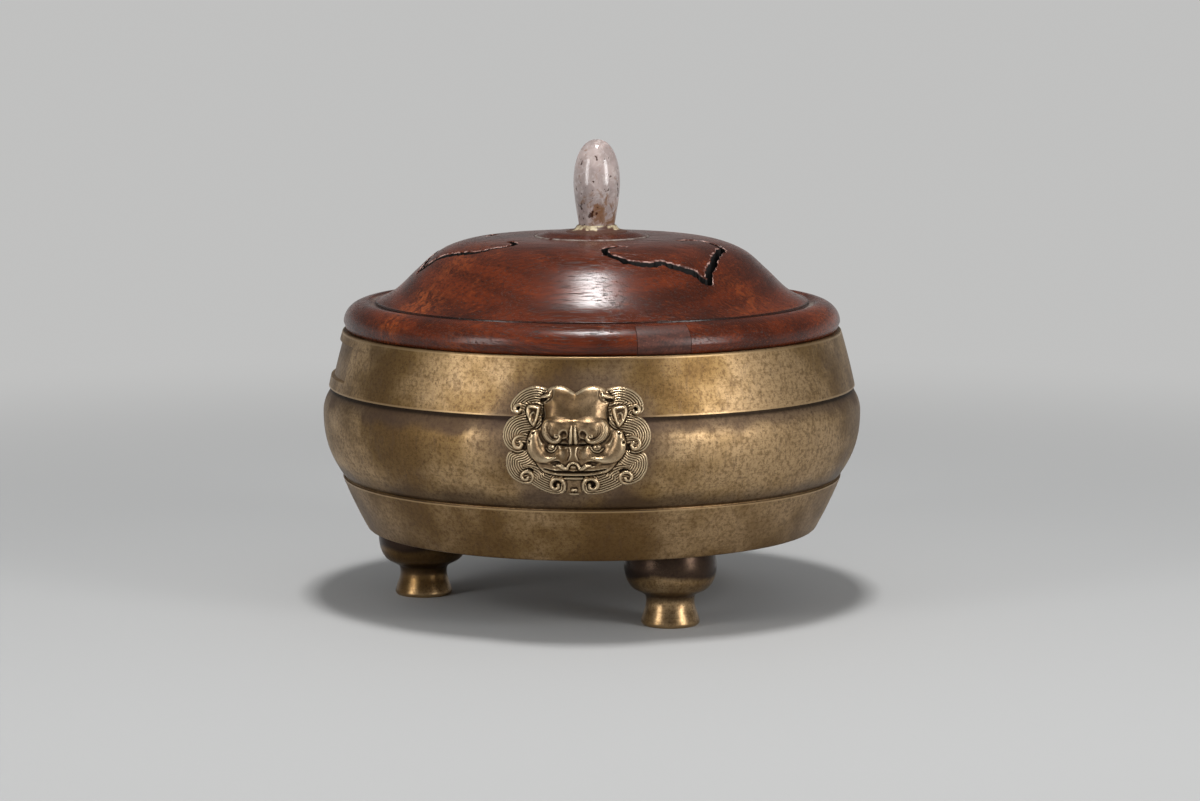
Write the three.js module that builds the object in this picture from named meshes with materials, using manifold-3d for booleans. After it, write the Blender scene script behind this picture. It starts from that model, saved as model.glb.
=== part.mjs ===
// Lidded tripod incense burner: cast bronze vessel, lion masks, turned wooden lid, stone knob.
// Millimetres, +Z up, origin on the ground under the middle, front towards -Y.
// Azimuth is 0 at the front and grows towards +X, which is at 90 degrees.
import * as THREE from 'three';
import { mergeVertices } from 'three/addons/utils/BufferGeometryUtils.js';
import Module from 'manifold-3d';

const wasm = await Module();
wasm.setup();

const degrees = THREE.MathUtils.degToRad;

// Fineness of the round work
const bodySides = 64;
const footSides = 24;
const smallSides = 24;
const bandSteps = 3;
const bellySteps = 6;
const cavitySteps = 4;
const panelSteps = 10;
const patchSteps = 4;
const beadSteps = 5;
const domeSteps = 12;
const hollowSteps = 8;
const knobBodySteps = 6;
const knobCrownSteps = 8;
const maskRings = 17;
const maskSpokes = 72;
const weldDistance = 1e-4;

// Clearances
const looseFit = 0.6;
const seatGap = 0.3;
const throughCut = 1;

// Bronze vessel: three turned bands between the mouth and a flat underside
const undersideHeight = 21.2;
const undersideRadius = 64.6;
const edgeBreak = 0.7;
const lowerBandHeight = 14.9;
const lowerBandRadius = 71.7;
const lowerBandSwell = 0.3;
const lowerLedge = 0.6;
const middleBandHeight = 23.9;
const middleBandFootRadius = 71.3;
const bellyRise = 18.2;
const bellyRadius = 77.1;
const bellyFullness = 2.4;
const middleBandTopRadius = 75.2;
const upperLedge = 1.4;
const upperBandHeight = 16;
const upperBandRadius = 75.5;
const upperBandSwell = 0.15;
const rimRadius = 71.4;
const rimLand = 4.6;
const rimDepth = 6;
const wall = 3.6;
const floorThickness = 4.6;
const floorCorner = 8;
const roundelRadius = 26;
const roundelDepth = 0.8;

// Sunk panel on the front of the upper band, left bare
const panelHalfAngle = degrees(25.5);
const panelMargin = 3.2;
const panelHeight = 10.2;
const panelDepth = 1;

// Three turned feet, the first at the front
const footCount = 3;
const footInset = 15.6;
const footTopRadius = 12.3;
const footBulbRadius = 12.9;
const footBulbHeight = 16;
const footUnderbulbRadius = 12.4;
const footUnderbulbHeight = 13;
const footShoulderRadius = 11.1;
const footShoulderHeight = 10.5;
const footCollarRadius = 7.4;
const footCollarHeight = 8.9;
const footNeckRadius = 6.7;
const footNeckHeight = 6.4;
const footSkirtRadius = 7.15;
const footSkirtHeight = 3.7;
const footFlareRadius = 8.2;
const footFlareHeight = 1;
const footSoleRadius = 7.7;

// Lion masks on the sides. One half of the face is drawn on a grid of so many steps over the width of
// the mask, across and up from its middle. Rises and depths are shares of the relief.
const maskHeight = 56.7;
const maskWidth = 40;
const maskGridSteps = 40;
const maskRelief = 2;
const maskEdge = 0.9;
const maskRoot = 3;
const bedReach = 0.7;
const field = { width: 12, height: 12 };
const lobes = [
  { across: 4.7, up: 9, radius: 4.8 },
  { across: 11.5, up: 9.2, radius: 4.4 },
  { across: 15.2, up: 8.8, radius: 3.3 },
  { across: 15.4, up: 1, radius: 4.7 },
  { across: 14.2, up: -7.4, radius: 4.9 },
  { across: 10.5, up: -9.3, radius: 4.3 },
  { across: 6, up: -10.6, radius: 4.7 },
  { across: 0, up: -12.6, radius: 2.9 },
];
const hairRise = 0.25;
const fans = [
  { across: 13.5, up: 10, width: 4, height: 2.6 },
  { across: 16.4, up: 1.4, width: 3, height: 3.8 },
  { across: 15.4, up: -6.6, width: 3, height: 4 },
  { across: 8.6, up: -12, width: 3.6, height: 1.8 },
];
const coilRise = 0.55;
const coilWidth = 0.9;
const coils = [
  { across: 15.8, up: 7.7, radius: 0.9 },
  { across: 15.4, up: -1.1, radius: 1.2 },
  { across: 13.2, up: -10.7, radius: 1.3 },
  { across: 4.5, up: -12.4, radius: 1.4 },
];
const plateRise = 0.5;
const plates = [
  { across: 0, up: 7.6, width: 9, height: 6.4 },
  { across: 0, up: -3.4, width: 12.6, height: 6.8 },
];
const mounds = [
  { across: 8.3, up: 11.4, width: 1.5, height: 1, rise: 0.4 },
  { across: 11.5, up: 6.2, width: 1.8, height: 2.4, rise: 0.6 },
  { across: 6, up: -2.1, width: 1.2, height: 1.1, rise: 0.35 },
  { across: 0, up: -4.2, width: 2.6, height: 2.6, rise: 0.6 },
  { across: 12.1, up: -0.2, width: 0.9, height: 0.9, rise: 0.25 },
];
const sockets = [
  { across: 6.2, up: -2.1, width: 2.8, height: 2.2, depth: 0.45 },
  { across: 6.6, up: -7.2, width: 2.8, height: 1, depth: 0.3 },
  { across: 0, up: -12.6, width: 1.8, height: 1.6, depth: 0.25 },
];
const brow = {
  width: 1.6,
  rise: 1,
  line: [[0, 5.5], [3.6, 5.5], [6.2, 4.2], [6.9, 2], [5.7, -0.1], [4.2, 0.4]],
};
const nose = { width: 1.1, rise: 0.4, line: [[0, 4.4], [0, -0.9]] };
const cheek = { width: 1.5, rise: 0.75, line: [[11.1, 1.2], [11.2, -2.5], [9.5, -4.8], [6.3, -5.4]] };
const lip = { width: 0.8, rise: 0.5, line: [[0, -6.6], [1.7, -7.8], [3.8, -7.2]] };
const jaw = { width: 0.8, rise: 0.25, line: [[0, -9.5], [4, -9.5], [7.6, -9]] };
const strokes = [brow, nose, cheek, lip, jaw];

// Turned wooden lid, heights above the mouth of the vessel
const lidFootRadius = 70.3;
const beadRadius = 71.1;
const beadHeight = 2.4;
const beadTopRadius = 64.6;
const beadTop = 8.1;
const grooveRadius = 62.5;
const grooveHeight = 7.2;
const domeFootRadius = 61.4;
const domeFootHeight = 7.8;
const flareRadius = 56;
const flareHeight = 11.2;
const haunchRadius = 50;
const haunchHeight = 17;
const shoulderRadius = 44.1;
const shoulderHeight = 22;
const crownRadius = 36.4;
const crownHeight = 25;
const topRadius = 27;
const topHeight = 26.2;
const domeHeight = 26.4;
const domeThickness = 6.2;
const flangeDepth = 4.5;
const flangeThickness = 4.2;
const hollowShoulder = 3;
const hollowFoot = 0.1;

// Pierced outlines in the lid, each a leaf with its tip outwards
const slitCount = 3;
const slitAzimuth = degrees(13.5);
const slitWidth = 1.1;
const leafFoot = 27.4;
const leafTip = 50.1;
const leafHalfTurn = degrees(35);
// One half of the leaf: how far out from its foot to its tip, and how far round from its middle
const leafOutline = [
  { out: 0.053, round: 0.586 },
  { out: 0, round: 0.7 },
  { out: 0.044, round: 0.886 },
  { out: 0.181, round: 1 },
  { out: 0.335, round: 1 },
  { out: 0.493, round: 0.943 },
  { out: 0.608, round: 0.829 },
  { out: 0.696, round: 0.686 },
  { out: 0.727, round: 0.543 },
  { out: 0.687, round: 0.417 },
  { out: 0.775, round: 0.314 },
  { out: 0.846, round: 0.186 },
  { out: 0.916, round: 0.086 },
];

// Block let into the rim of the lid
const patchAzimuth = degrees(109.7);
const patchHalfAngle = degrees(6.1);
const patchDepth = 4.2;

// Knob and what holds it
const seatRadius = 16.3;
const seatDepth = 2.5;
const seatEdge = 0.2;
const seatRise = 1.4;
const seatSlopeRadius = 12.9;
const seatSlopeRise = 0.74;
const seatTopRadius = 10.6;
const beddingRadius = 9;
const beddingHeight = 2;
const beddingSlopeRadius = 7.1;
const beddingSlopeHeight = 0.6;
const beddingFloor = 0.7;
const beddingLip = 0.5;
const knobShift = 1.4;
const knobRadius = 6.7;
const knobCrown = 12.6;
const knobBody = 13;
const knobFootRadius = 4.9;
const knobCrownFullness = 2.2;
const knobBodyFullness = 1.4;
const pinRadius = 2;
const pinLength = 15;
const pinInLid = 2;

// Levels that follow from the sizes above
const lowerBandTop = undersideHeight + lowerBandHeight;
const middleBandFoot = lowerBandTop + lowerLedge;
const bellyHeight = middleBandFoot + bellyRise;
const middleBandTop = middleBandFoot + middleBandHeight;
const upperBandFoot = middleBandTop + upperLedge;
const mouthHeight = upperBandFoot + upperBandHeight;
const mouthRadius = rimRadius - rimLand;
const footCircle = undersideRadius - footInset;
const lidTop = mouthHeight + domeHeight;
const cavityFloor = undersideHeight + floorThickness;
const seatFloor = lidTop - seatDepth;
const seatTop = lidTop + seatRise;
const knobFoot = seatTop + beddingFloor;
const knobWaist = knobFoot + knobBody;
const pinFoot = seatFloor - pinInLid;

// Closed mesh with shared corners and its faces pointing out
function welded(geometry) {
  geometry.deleteAttribute('normal');
  geometry.deleteAttribute('uv');
  const merged = mergeVertices(geometry, weldDistance);
  const corners = merged.index.array;
  const kept = [];
  for (let i = 0; i < corners.length; i += 3) {
    const [a, b, c] = [corners[i], corners[i + 1], corners[i + 2]];
    if (a !== b && b !== c && c !== a) kept.push(a, b, c);
  }
  merged.setIndex(kept);
  if (volumeOf(merged) < 0) merged.setIndex(kept.reverse());
  return merged;
}

function volumeOf(geometry) {
  const place = geometry.attributes.position;
  const corners = geometry.index.array;
  const [a, b, c] = [new THREE.Vector3(), new THREE.Vector3(), new THREE.Vector3()];
  let sum = 0;
  for (let i = 0; i < corners.length; i += 3) {
    a.fromBufferAttribute(place, corners[i]);
    b.fromBufferAttribute(place, corners[i + 1]);
    c.fromBufferAttribute(place, corners[i + 2]);
    sum += a.dot(b.cross(c));
  }
  return sum;
}

// Solid turned about the vertical axis from a profile of [radius, height] pairs
function turned(profile, sides) {
  const points = profile.map(([radius, height]) => new THREE.Vector2(radius, height));
  const geometry = new THREE.LatheGeometry(points, sides);
  geometry.rotateX(Math.PI / 2);
  return welded(geometry);
}

function toSolid(geometry) {
  return new wasm.Manifold(new wasm.Mesh({
    numProp: 3,
    vertProperties: new Float32Array(geometry.attributes.position.array),
    triVerts: new Uint32Array(geometry.index.array),
  }));
}

function toGeometry(solid) {
  const mesh = solid.getMesh();
  const geometry = new THREE.BufferGeometry();
  geometry.setAttribute('position', new THREE.BufferAttribute(mesh.vertProperties, 3));
  geometry.setIndex(Array.from(mesh.triVerts));
  return geometry;
}

function cutBy(geometry, ...tools) {
  let solid = toSolid(geometry);
  for (const tool of tools) solid = solid.subtract(toSolid(tool));
  return toGeometry(solid);
}

function common(geometry, tool) {
  return toGeometry(toSolid(geometry).intersect(toSolid(tool)));
}

// Point at an azimuth, a distance from the axis and a height
function around(azimuth, radius, height) {
  return [radius * Math.sin(azimuth), -radius * Math.cos(azimuth), height];
}

// Block bent round the axis between two azimuths and two heights
function bentBlock({ middle, half, bottom, top, inner, outer, steps }) {
  const geometry = new THREE.BoxGeometry(2, 1, 1, steps, 1, 1);
  const place = geometry.attributes.position;
  for (let i = 0; i < place.count; i++) {
    const azimuth = middle + half * place.getX(i);
    const height = place.getZ(i) > 0 ? top : bottom;
    const radius = place.getY(i) > 0 ? outer : inner(height);
    place.setXYZ(i, ...around(azimuth, radius, height));
  }
  return welded(geometry);
}

function between(from, to, share) {
  return from + (to - from) * share;
}

// 0 at both ends and 1 in the middle
function bow(share) {
  return 4 * share * (1 - share);
}

// Outside of the vessel, band by band
function lowerBandAt(height) {
  const share = (height - undersideHeight) / lowerBandHeight;
  return between(undersideRadius, lowerBandRadius, share) + lowerBandSwell * bow(share);
}

function middleBandAt(height) {
  if (height < bellyHeight) {
    const drop = (bellyHeight - height) / bellyRise;
    return bellyRadius - (bellyRadius - middleBandFootRadius) * drop ** bellyFullness;
  }
  const climb = (height - bellyHeight) / (middleBandTop - bellyHeight);
  return bellyRadius - (bellyRadius - middleBandTopRadius) * climb ** 2;
}

function upperBandAt(height) {
  const share = (height - upperBandFoot) / upperBandHeight;
  return between(upperBandRadius, rimRadius, share) + upperBandSwell * bow(share);
}

function wallAt(height) {
  if (height <= lowerBandTop) return lowerBandAt(height);
  if (height < middleBandTop) return middleBandAt(Math.max(height, middleBandFoot));
  if (height > upperBandFoot) return upperBandAt(height);
  return between(middleBandTopRadius, upperBandRadius, (height - middleBandTop) / upperLedge);
}

// Heights from one level to another in even steps, ends included
function levels(from, to, count) {
  return Array.from({ length: count + 1 }, (_, i) => between(from, to, i / count));
}

// Profile of the vessel's outside from the underside to the mouth, grown outwards by a gap
function vesselOutside(gap) {
  return [
    ...levels(undersideHeight + edgeBreak, lowerBandTop, bandSteps).map((z) => [lowerBandAt(z) + gap, z]),
    ...levels(middleBandFoot, bellyHeight, bellySteps).map((z) => [middleBandAt(z) + gap, z]),
    ...levels(bellyHeight, middleBandTop, bandSteps).slice(1).map((z) => [middleBandAt(z) + gap, z]),
    ...levels(upperBandFoot, mouthHeight, bandSteps).map((z) => [upperBandAt(z) + gap, z]),
  ];
}

function vessel() {
  const cavityFoot = cavityFloor + floorCorner;
  const cavityTop = mouthHeight - rimDepth - rimLand;
  const cornerBend = floorCorner * (1 - Math.SQRT1_2);
  const inside = [
    [mouthRadius, mouthHeight],
    [mouthRadius, mouthHeight - rimDepth],
    ...levels(cavityTop, cavityFoot, cavitySteps).map((z) => [wallAt(z) - wall, z]),
    [wallAt(cavityFoot) - wall - cornerBend, cavityFloor + cornerBend],
    [wallAt(cavityFoot) - wall - floorCorner, cavityFloor],
    [0, cavityFloor],
  ];
  const underside = [
    [0, undersideHeight + roundelDepth],
    [roundelRadius, undersideHeight + roundelDepth],
    [roundelRadius, undersideHeight],
    [undersideRadius - edgeBreak, undersideHeight],
  ];
  const shell = turned([...underside, ...vesselOutside(0), ...inside], bodySides);
  const panelFoot = upperBandFoot + panelMargin;
  const panel = bentBlock({
    middle: 0,
    half: panelHalfAngle,
    bottom: panelFoot,
    top: panelFoot + panelHeight,
    inner: (height) => upperBandAt(height) - panelDepth,
    outer: upperBandRadius + wall,
    steps: panelSteps,
  });
  return cutBy(shell, panel);
}

function foot() {
  return turned([
    [0, 0],
    [footSoleRadius, 0],
    [footFlareRadius, footFlareHeight],
    [footSkirtRadius, footSkirtHeight],
    [footNeckRadius, footNeckHeight],
    [footCollarRadius, footCollarHeight],
    [footShoulderRadius, footShoulderHeight],
    [footUnderbulbRadius, footUnderbulbHeight],
    [footBulbRadius, footBulbHeight],
    [footTopRadius, undersideHeight],
    [0, undersideHeight],
  ], footSides);
}

// How far the edge of the mask lies from the middle of the face in one direction
function maskReach(direction) {
  const [across, up] = [Math.cos(direction), Math.sin(direction)];
  let reach = 1 / Math.hypot(across / field.width, up / field.height);
  for (const lobe of lobes) {
    for (const side of [-1, 1]) {
      const along = side * lobe.across * across + lobe.up * up;
      const aside = side * lobe.across * up - lobe.up * across;
      const chord = lobe.radius ** 2 - aside ** 2;
      if (along > 0 && chord > 0) reach = Math.max(reach, along + Math.sqrt(chord));
    }
  }
  return reach;
}

// Share of a swelling at a place: 1 in its middle, fading round it; a plate keeps level further out
function swelling(x, y, { across, up, width, height }) {
  return Math.exp(-(((x - across) / width) ** 2) - ((y - up) / height) ** 2);
}

function plate(x, y, { across, up, width, height }) {
  return Math.exp(-((((x - across) / width) ** 2 + ((y - up) / height) ** 2) ** 3));
}

function coil(x, y, { across, up, radius }) {
  const off = (Math.hypot(x - across, y - up) - radius) / coilWidth;
  return Math.exp(-(off ** 2));
}

// Share of a rounded stroke at a place, from its distance to the line
function stroke(x, y, { line, width }) {
  let nearest = Infinity;
  for (let i = 1; i < line.length; i++) {
    const start = new THREE.Vector2(...line[i - 1]);
    const way = new THREE.Vector2(...line[i]).sub(start);
    const off = new THREE.Vector2(x, y).sub(start);
    const share = THREE.MathUtils.clamp(off.dot(way) / way.lengthSq(), 0, 1);
    nearest = Math.min(nearest, off.addScaledVector(way, -share).length());
  }
  return Math.exp(-((nearest / width) ** 2));
}

function maskRise(x, y) {
  const aside = Math.abs(x);
  let share = hairRise * Math.max(...fans.map((fan) => swelling(aside, y, fan)));
  share += coilRise * Math.max(...coils.map((ring) => coil(aside, y, ring)));
  share += plateRise * Math.max(...plates.map((face) => plate(aside, y, face)));
  for (const mound of mounds) share += mound.rise * swelling(aside, y, mound);
  for (const band of strokes) share += band.rise * stroke(aside, y, band);
  for (const socket of sockets) share -= socket.depth * swelling(aside, y, socket);
  return maskEdge + maskRelief * Math.max(share, 0);
}

// Face from which the relief rises: clear of the wall just above and below, with the ledge bridged
function maskBedAt(height) {
  const share = THREE.MathUtils.clamp((upperBandFoot - height) / (upperBandFoot - bellyHeight), 0, 1);
  const bridge = height < upperBandFoot && height > bellyHeight
    ? between(upperBandRadius, bellyRadius, Math.sqrt(share))
    : 0;
  return Math.max(bridge, wallAt(height - bedReach), wallAt(height), wallAt(height + bedReach)) + seatGap;
}

// Relief from a root inside the wall, trimmed to the wall with a gap
function mask(azimuth) {
  const places = [];
  const faces = [];
  const addFace = (a, b, c) => faces.push(a, b, c);
  const module = maskWidth / maskGridSteps;
  const addPoint = (x, y, rise) => {
    const height = maskHeight + y * module;
    places.push(...around(azimuth + (x * module) / bellyRadius, maskBedAt(height) + rise, height));
  };
  const directions = Array.from({ length: maskSpokes }, (_, i) => (i / maskSpokes) * 2 * Math.PI);
  for (let ring = 1; ring <= maskRings; ring++) {
    for (const direction of directions) {
      const reach = maskReach(direction) * (ring / maskRings);
      const [x, y] = [reach * Math.cos(direction), reach * Math.sin(direction)];
      addPoint(x, y, maskRise(x, y));
    }
  }
  for (const direction of directions) {
    const reach = maskReach(direction);
    addPoint(reach * Math.cos(direction), reach * Math.sin(direction), -maskRoot);
  }
  addPoint(0, 0, maskRise(0, 0));
  addPoint(0, 0, -maskRoot);
  const front = (maskRings + 1) * maskSpokes;
  for (let step = 0; step < maskSpokes; step++) {
    const next = (step + 1) % maskSpokes;
    addFace(front, step, next);
    for (let ring = 0; ring < maskRings; ring++) {
      const [low, high] = [ring * maskSpokes, (ring + 1) * maskSpokes];
      addFace(low + step, high + step, high + next);
      addFace(low + step, high + next, low + next);
    }
    addFace(front + 1, maskRings * maskSpokes + next, maskRings * maskSpokes + step);
  }
  const geometry = new THREE.BufferGeometry();
  geometry.setAttribute('position', new THREE.Float32BufferAttribute(places, 3));
  geometry.setIndex(faces);
  const wallBody = turned([[0, undersideHeight], ...vesselOutside(seatGap), [0, mouthHeight]], bodySides);
  return cutBy(welded(geometry), wallBody);
}

// Outside of the dome from its foot to the edge of the knob's seat
function domeCurve() {
  return new THREE.SplineCurve([
    [domeFootRadius, domeFootHeight],
    [flareRadius, flareHeight],
    [haunchRadius, haunchHeight],
    [shoulderRadius, shoulderHeight],
    [crownRadius, crownHeight],
    [topRadius, topHeight],
    [seatRadius + seatGap, domeHeight],
  ].map(([radius, height]) => new THREE.Vector2(radius, mouthHeight + height)));
}

// Lid as it comes off the lathe, before the outlines, the patch and the pin hole are cut
function lidBlank() {
  const dome = domeCurve();
  const flangeRadius = mouthRadius - looseFit;
  const flangeFoot = mouthHeight - flangeDepth;
  const hollow = levels(1, hollowFoot, hollowSteps).map((share) => {
    const point = dome.getPointAt(share);
    const along = dome.getTangentAt(share);
    return [point.x - along.y * domeThickness, point.y + along.x * domeThickness];
  });
  const bead = levels(0, Math.PI / 2, beadSteps).map((turn) => [
    between(beadTopRadius, beadRadius, Math.cos(turn)),
    mouthHeight + between(beadHeight, beadTop, Math.sin(turn)),
  ]);
  return turned([
    [0, lidTop - domeThickness],
    ...hollow,
    [flangeRadius - flangeThickness, mouthHeight + hollowShoulder],
    [flangeRadius - flangeThickness, flangeFoot],
    [flangeRadius, flangeFoot],
    [flangeRadius, mouthHeight],
    [lidFootRadius, mouthHeight],
    ...bead,
    [grooveRadius, mouthHeight + grooveHeight],
    ...dome.getSpacedPoints(domeSteps).map((point) => [point.x, point.y]),
    [seatRadius + seatGap, seatFloor],
    [0, seatFloor],
  ], bodySides);
}

// Saw cut that follows one leaf outline right through the dome
function slit(azimuth) {
  const half = leafOutline.map(({ out, round }) => [between(leafFoot, leafTip, out), leafHalfTurn * round]);
  const whole = [...half, [leafTip, 0], ...half.map(([radius, turn]) => [radius, -turn]).reverse()];
  const path = whole.map(([radius, turn]) => new THREE.Vector2(...around(turn, radius)));
  const sideOf = (sign) => path.map((point, i) => {
    const before = path[Math.max(i - 1, 0)];
    const after = path[Math.min(i + 1, path.length - 1)];
    const along = after.clone().sub(before).normalize();
    return new THREE.Vector2(-along.y, along.x).multiplyScalar((sign * slitWidth) / 2).add(point);
  });
  const shape = new THREE.Shape([...sideOf(1), ...sideOf(-1).reverse()]);
  const depth = flangeDepth + domeHeight + throughCut;
  const geometry = new THREE.ExtrudeGeometry(shape, { depth, bevelEnabled: false });
  geometry.rotateZ(azimuth);
  geometry.translate(0, 0, mouthHeight - flangeDepth);
  return welded(geometry);
}

function patchBlock(gap) {
  return bentBlock({
    middle: patchAzimuth,
    half: patchHalfAngle + gap / beadRadius,
    bottom: mouthHeight - gap,
    top: mouthHeight + beadTop + gap,
    inner: () => beadRadius - patchDepth - gap,
    outer: beadRadius + gap + throughCut,
    steps: patchSteps,
  });
}

// Upright cylinder where the knob stands
function knobBore(radius, bottom, top) {
  const geometry = new THREE.CylinderGeometry(radius, radius, top - bottom, smallSides);
  geometry.rotateX(Math.PI / 2);
  geometry.translate(0, knobShift, (bottom + top) / 2);
  return welded(geometry);
}

function pinHole(top) {
  return knobBore(pinRadius + seatGap, pinFoot, top);
}

function lid() {
  const slits = Array.from({ length: slitCount }, (_, i) => slit(slitAzimuth + (i * 2 * Math.PI) / slitCount));
  return cutBy(lidBlank(), ...slits, patchBlock(seatGap), pinHole(lidTop));
}

function rimPatch() {
  return common(lidBlank(), patchBlock(0));
}

function knobSeat() {
  const disc = turned([
    [0, seatFloor],
    [seatRadius, seatFloor],
    [seatRadius, lidTop + seatEdge],
    [seatSlopeRadius, lidTop + seatSlopeRise],
    [seatTopRadius, seatTop],
    [0, seatTop],
  ], bodySides);
  return cutBy(disc, pinHole(seatTop + throughCut));
}

function knobRadiusAt(height) {
  const share = (knobWaist - height) / knobBody;
  return knobRadius - (knobRadius - knobFootRadius) * share ** knobBodyFullness;
}

function knobBedding() {
  const top = seatTop + beddingHeight;
  const lipInside = knobRadiusAt(top) + seatGap;
  const collar = turned([
    [0, seatTop],
    [beddingRadius, seatTop],
    [beddingSlopeRadius, seatTop + beddingSlopeHeight],
    [lipInside + beddingLip, top],
    [lipInside, top],
    [knobFootRadius + seatGap, knobFoot],
    [0, knobFoot],
  ], smallSides);
  collar.translate(0, knobShift, 0);
  return cutBy(collar, pinHole(top + throughCut));
}

function knob() {
  const body = levels(knobFoot, knobWaist, knobBodySteps).map((z) => [knobRadiusAt(z), z]);
  const crown = levels(0, 1, knobCrownSteps).slice(1).map((share) => {
    const turn = (share * Math.PI) / 2;
    const rise = Math.sin(turn);
    const fall = (1 - rise ** knobCrownFullness) ** (1 / knobCrownFullness);
    return [share < 1 ? knobRadius * fall : 0, knobWaist + knobCrown * rise];
  });
  const stone = turned([[0, knobFoot], ...body, ...crown], smallSides);
  stone.translate(0, knobShift, 0);
  return cutBy(stone, pinHole(pinFoot + pinLength + seatGap));
}

const bronze = { color: 0x8c744a, roughness: 0.42, metalness: 0.9 };
const paleBronze = { color: 0x9a8150, roughness: 0.38, metalness: 0.9 };
const redWood = { color: 0x5a2416, roughness: 0.35, metalness: 0 };
const darkWood = { color: 0x46201a, roughness: 0.5, metalness: 0 };
const cream = { color: 0xc8b98c, roughness: 0.7, metalness: 0 };
const quartz = { color: 0xb3a29b, roughness: 0.15, metalness: 0 };

const burner = new THREE.Group();

function add(name, geometry, finish) {
  const mesh = new THREE.Mesh(geometry, new THREE.MeshStandardMaterial(finish));
  mesh.name = name;
  burner.add(mesh);
  return mesh;
}

add('vessel', vessel(), bronze);
add('mask_right', mask(degrees(90)), paleBronze);
add('mask_left', mask(degrees(270)), paleBronze);
['foot_front', 'foot_rear_right', 'foot_rear_left'].forEach((name, i) => {
  const place = around((i * 2 * Math.PI) / footCount, footCircle, 0);
  add(name, foot(), bronze).position.set(...place);
});
add('lid', lid(), redWood);
add('rim_patch', rimPatch(), darkWood);
add('knob_seat', knobSeat(), redWood);
add('knob_bedding', knobBedding(), cream);
add('knob', knob(), quartz);
add('knob_pin', knobBore(pinRadius, pinFoot, pinFoot + pinLength), darkWood);

export default burner;
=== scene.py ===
"""Lidded bronze incense burner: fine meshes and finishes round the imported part.

Outlines are in millimetres, as pairs of radius and height, and become metres when a mesh is made.
Azimuth is 0 at the front, towards -Y, and 90 degrees at +X.
"""
import math

import bpy
import numpy as np
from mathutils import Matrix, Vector


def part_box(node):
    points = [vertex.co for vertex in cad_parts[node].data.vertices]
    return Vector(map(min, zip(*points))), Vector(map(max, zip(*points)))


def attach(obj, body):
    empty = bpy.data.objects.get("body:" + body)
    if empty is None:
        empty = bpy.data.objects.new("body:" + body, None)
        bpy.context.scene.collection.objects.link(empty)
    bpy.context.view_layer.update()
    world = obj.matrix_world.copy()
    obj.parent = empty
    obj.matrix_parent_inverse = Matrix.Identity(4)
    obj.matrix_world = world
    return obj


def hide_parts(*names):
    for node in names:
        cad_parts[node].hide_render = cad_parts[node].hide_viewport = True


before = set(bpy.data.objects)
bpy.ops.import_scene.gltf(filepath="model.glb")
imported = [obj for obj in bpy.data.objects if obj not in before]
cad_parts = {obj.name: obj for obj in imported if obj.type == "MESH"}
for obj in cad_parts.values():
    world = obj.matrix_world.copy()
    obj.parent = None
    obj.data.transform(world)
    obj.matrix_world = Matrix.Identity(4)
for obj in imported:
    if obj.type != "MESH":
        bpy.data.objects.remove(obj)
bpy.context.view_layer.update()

MM = 0.001
FULL_TURN = 2 * math.pi


def millimetres(node):
    """Lowest and highest corner of a node of the frame, in millimetres."""
    low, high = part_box(node)
    return low / MM, high / MM


# Levels and radii that come from the frame
vessel_low, vessel_high = millimetres("vessel")
foot_low, foot_high = millimetres("foot_front")
lid_low, lid_high = millimetres("lid")
seat_low, seat_high = millimetres("knob_seat")
knob_low, knob_high = millimetres("knob")
pin_low, pin_high = millimetres("knob_pin")
_, mask_high = millimetres("mask_right")

UNDERSIDE = vessel_low.z
MOUTH = vessel_high.z
BELLY_RADIUS = vessel_high.y
FOOT_CIRCLE = -(foot_low.y + foot_high.y) / 2
FOOT_BULB = (foot_high.x - foot_low.x) / 2
BEAD_RADIUS = lid_high.y
LID_TOP = lid_high.z
FLANGE_FOOT = lid_low.z
SEAT_FLOOR = seat_low.z
SEAT_TOP = seat_high.z
SEAT_RADIUS = seat_high.x
KNOB_PLACE = (0.0, (knob_low.y + knob_high.y) / 2)
KNOB_FOOT = knob_low.z
KNOB_TOP = knob_high.z
KNOB_RADIUS = (knob_high.x - knob_low.x) / 2
PIN_RADIUS = (pin_high.x - pin_low.x) / 2

# Vessel
UNDERSIDE_RADIUS = 64.6
LOWER_TOP = UNDERSIDE + 14.9
LOWER_RADIUS = 71.7
LOWER_SWELL = 0.3
MIDDLE_FOOT = LOWER_TOP + 0.6
MIDDLE_FOOT_RADIUS = 71.3
BELLY = MIDDLE_FOOT + 18.2
BELLY_FULLNESS = 2.4
UPPER_FOOT = MOUTH - 16.0
MIDDLE_TOP = UPPER_FOOT - 1.4
MIDDLE_TOP_RADIUS = 75.2
UPPER_RADIUS = 75.5
UPPER_SWELL = 0.15
RIM_RADIUS = 71.4
MOUTH_RADIUS = 66.8
WALL = 3.6
FLOOR = UNDERSIDE + 4.6
FLOOR_CORNER = 8.0
ROUNDEL_RADIUS = 26.0
ROUNDEL_DEPTH = 0.8
CREASE = 0.7

# Sunk panel on the front
PANEL_HALF = math.radians(25.5)
PANEL_FOOT = UPPER_FOOT + 3.2
PANEL_HEIGHT = 10.2
PANEL_DEPTH = 0.9
PANEL_EDGE = 0.35
PANEL_EDGE_TURN = PANEL_EDGE / UPPER_RADIUS

# Masks
MASK_HEIGHT = 56.7
MASK_GRID = 0.146
MASK_BURIED = 0.25
MASK_CLEAR = 0.04
MASK_TALLEST = 4.7
MASK_HALF_WIDE = 22.0
MASK_ABOVE = 15.4
MASK_BELOW = 16.2
HALO_HALF_WIDE = 24.5
HALO_HALF_HIGH = 18.0

# Feet
FOOT_NECK = 8.6

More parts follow.
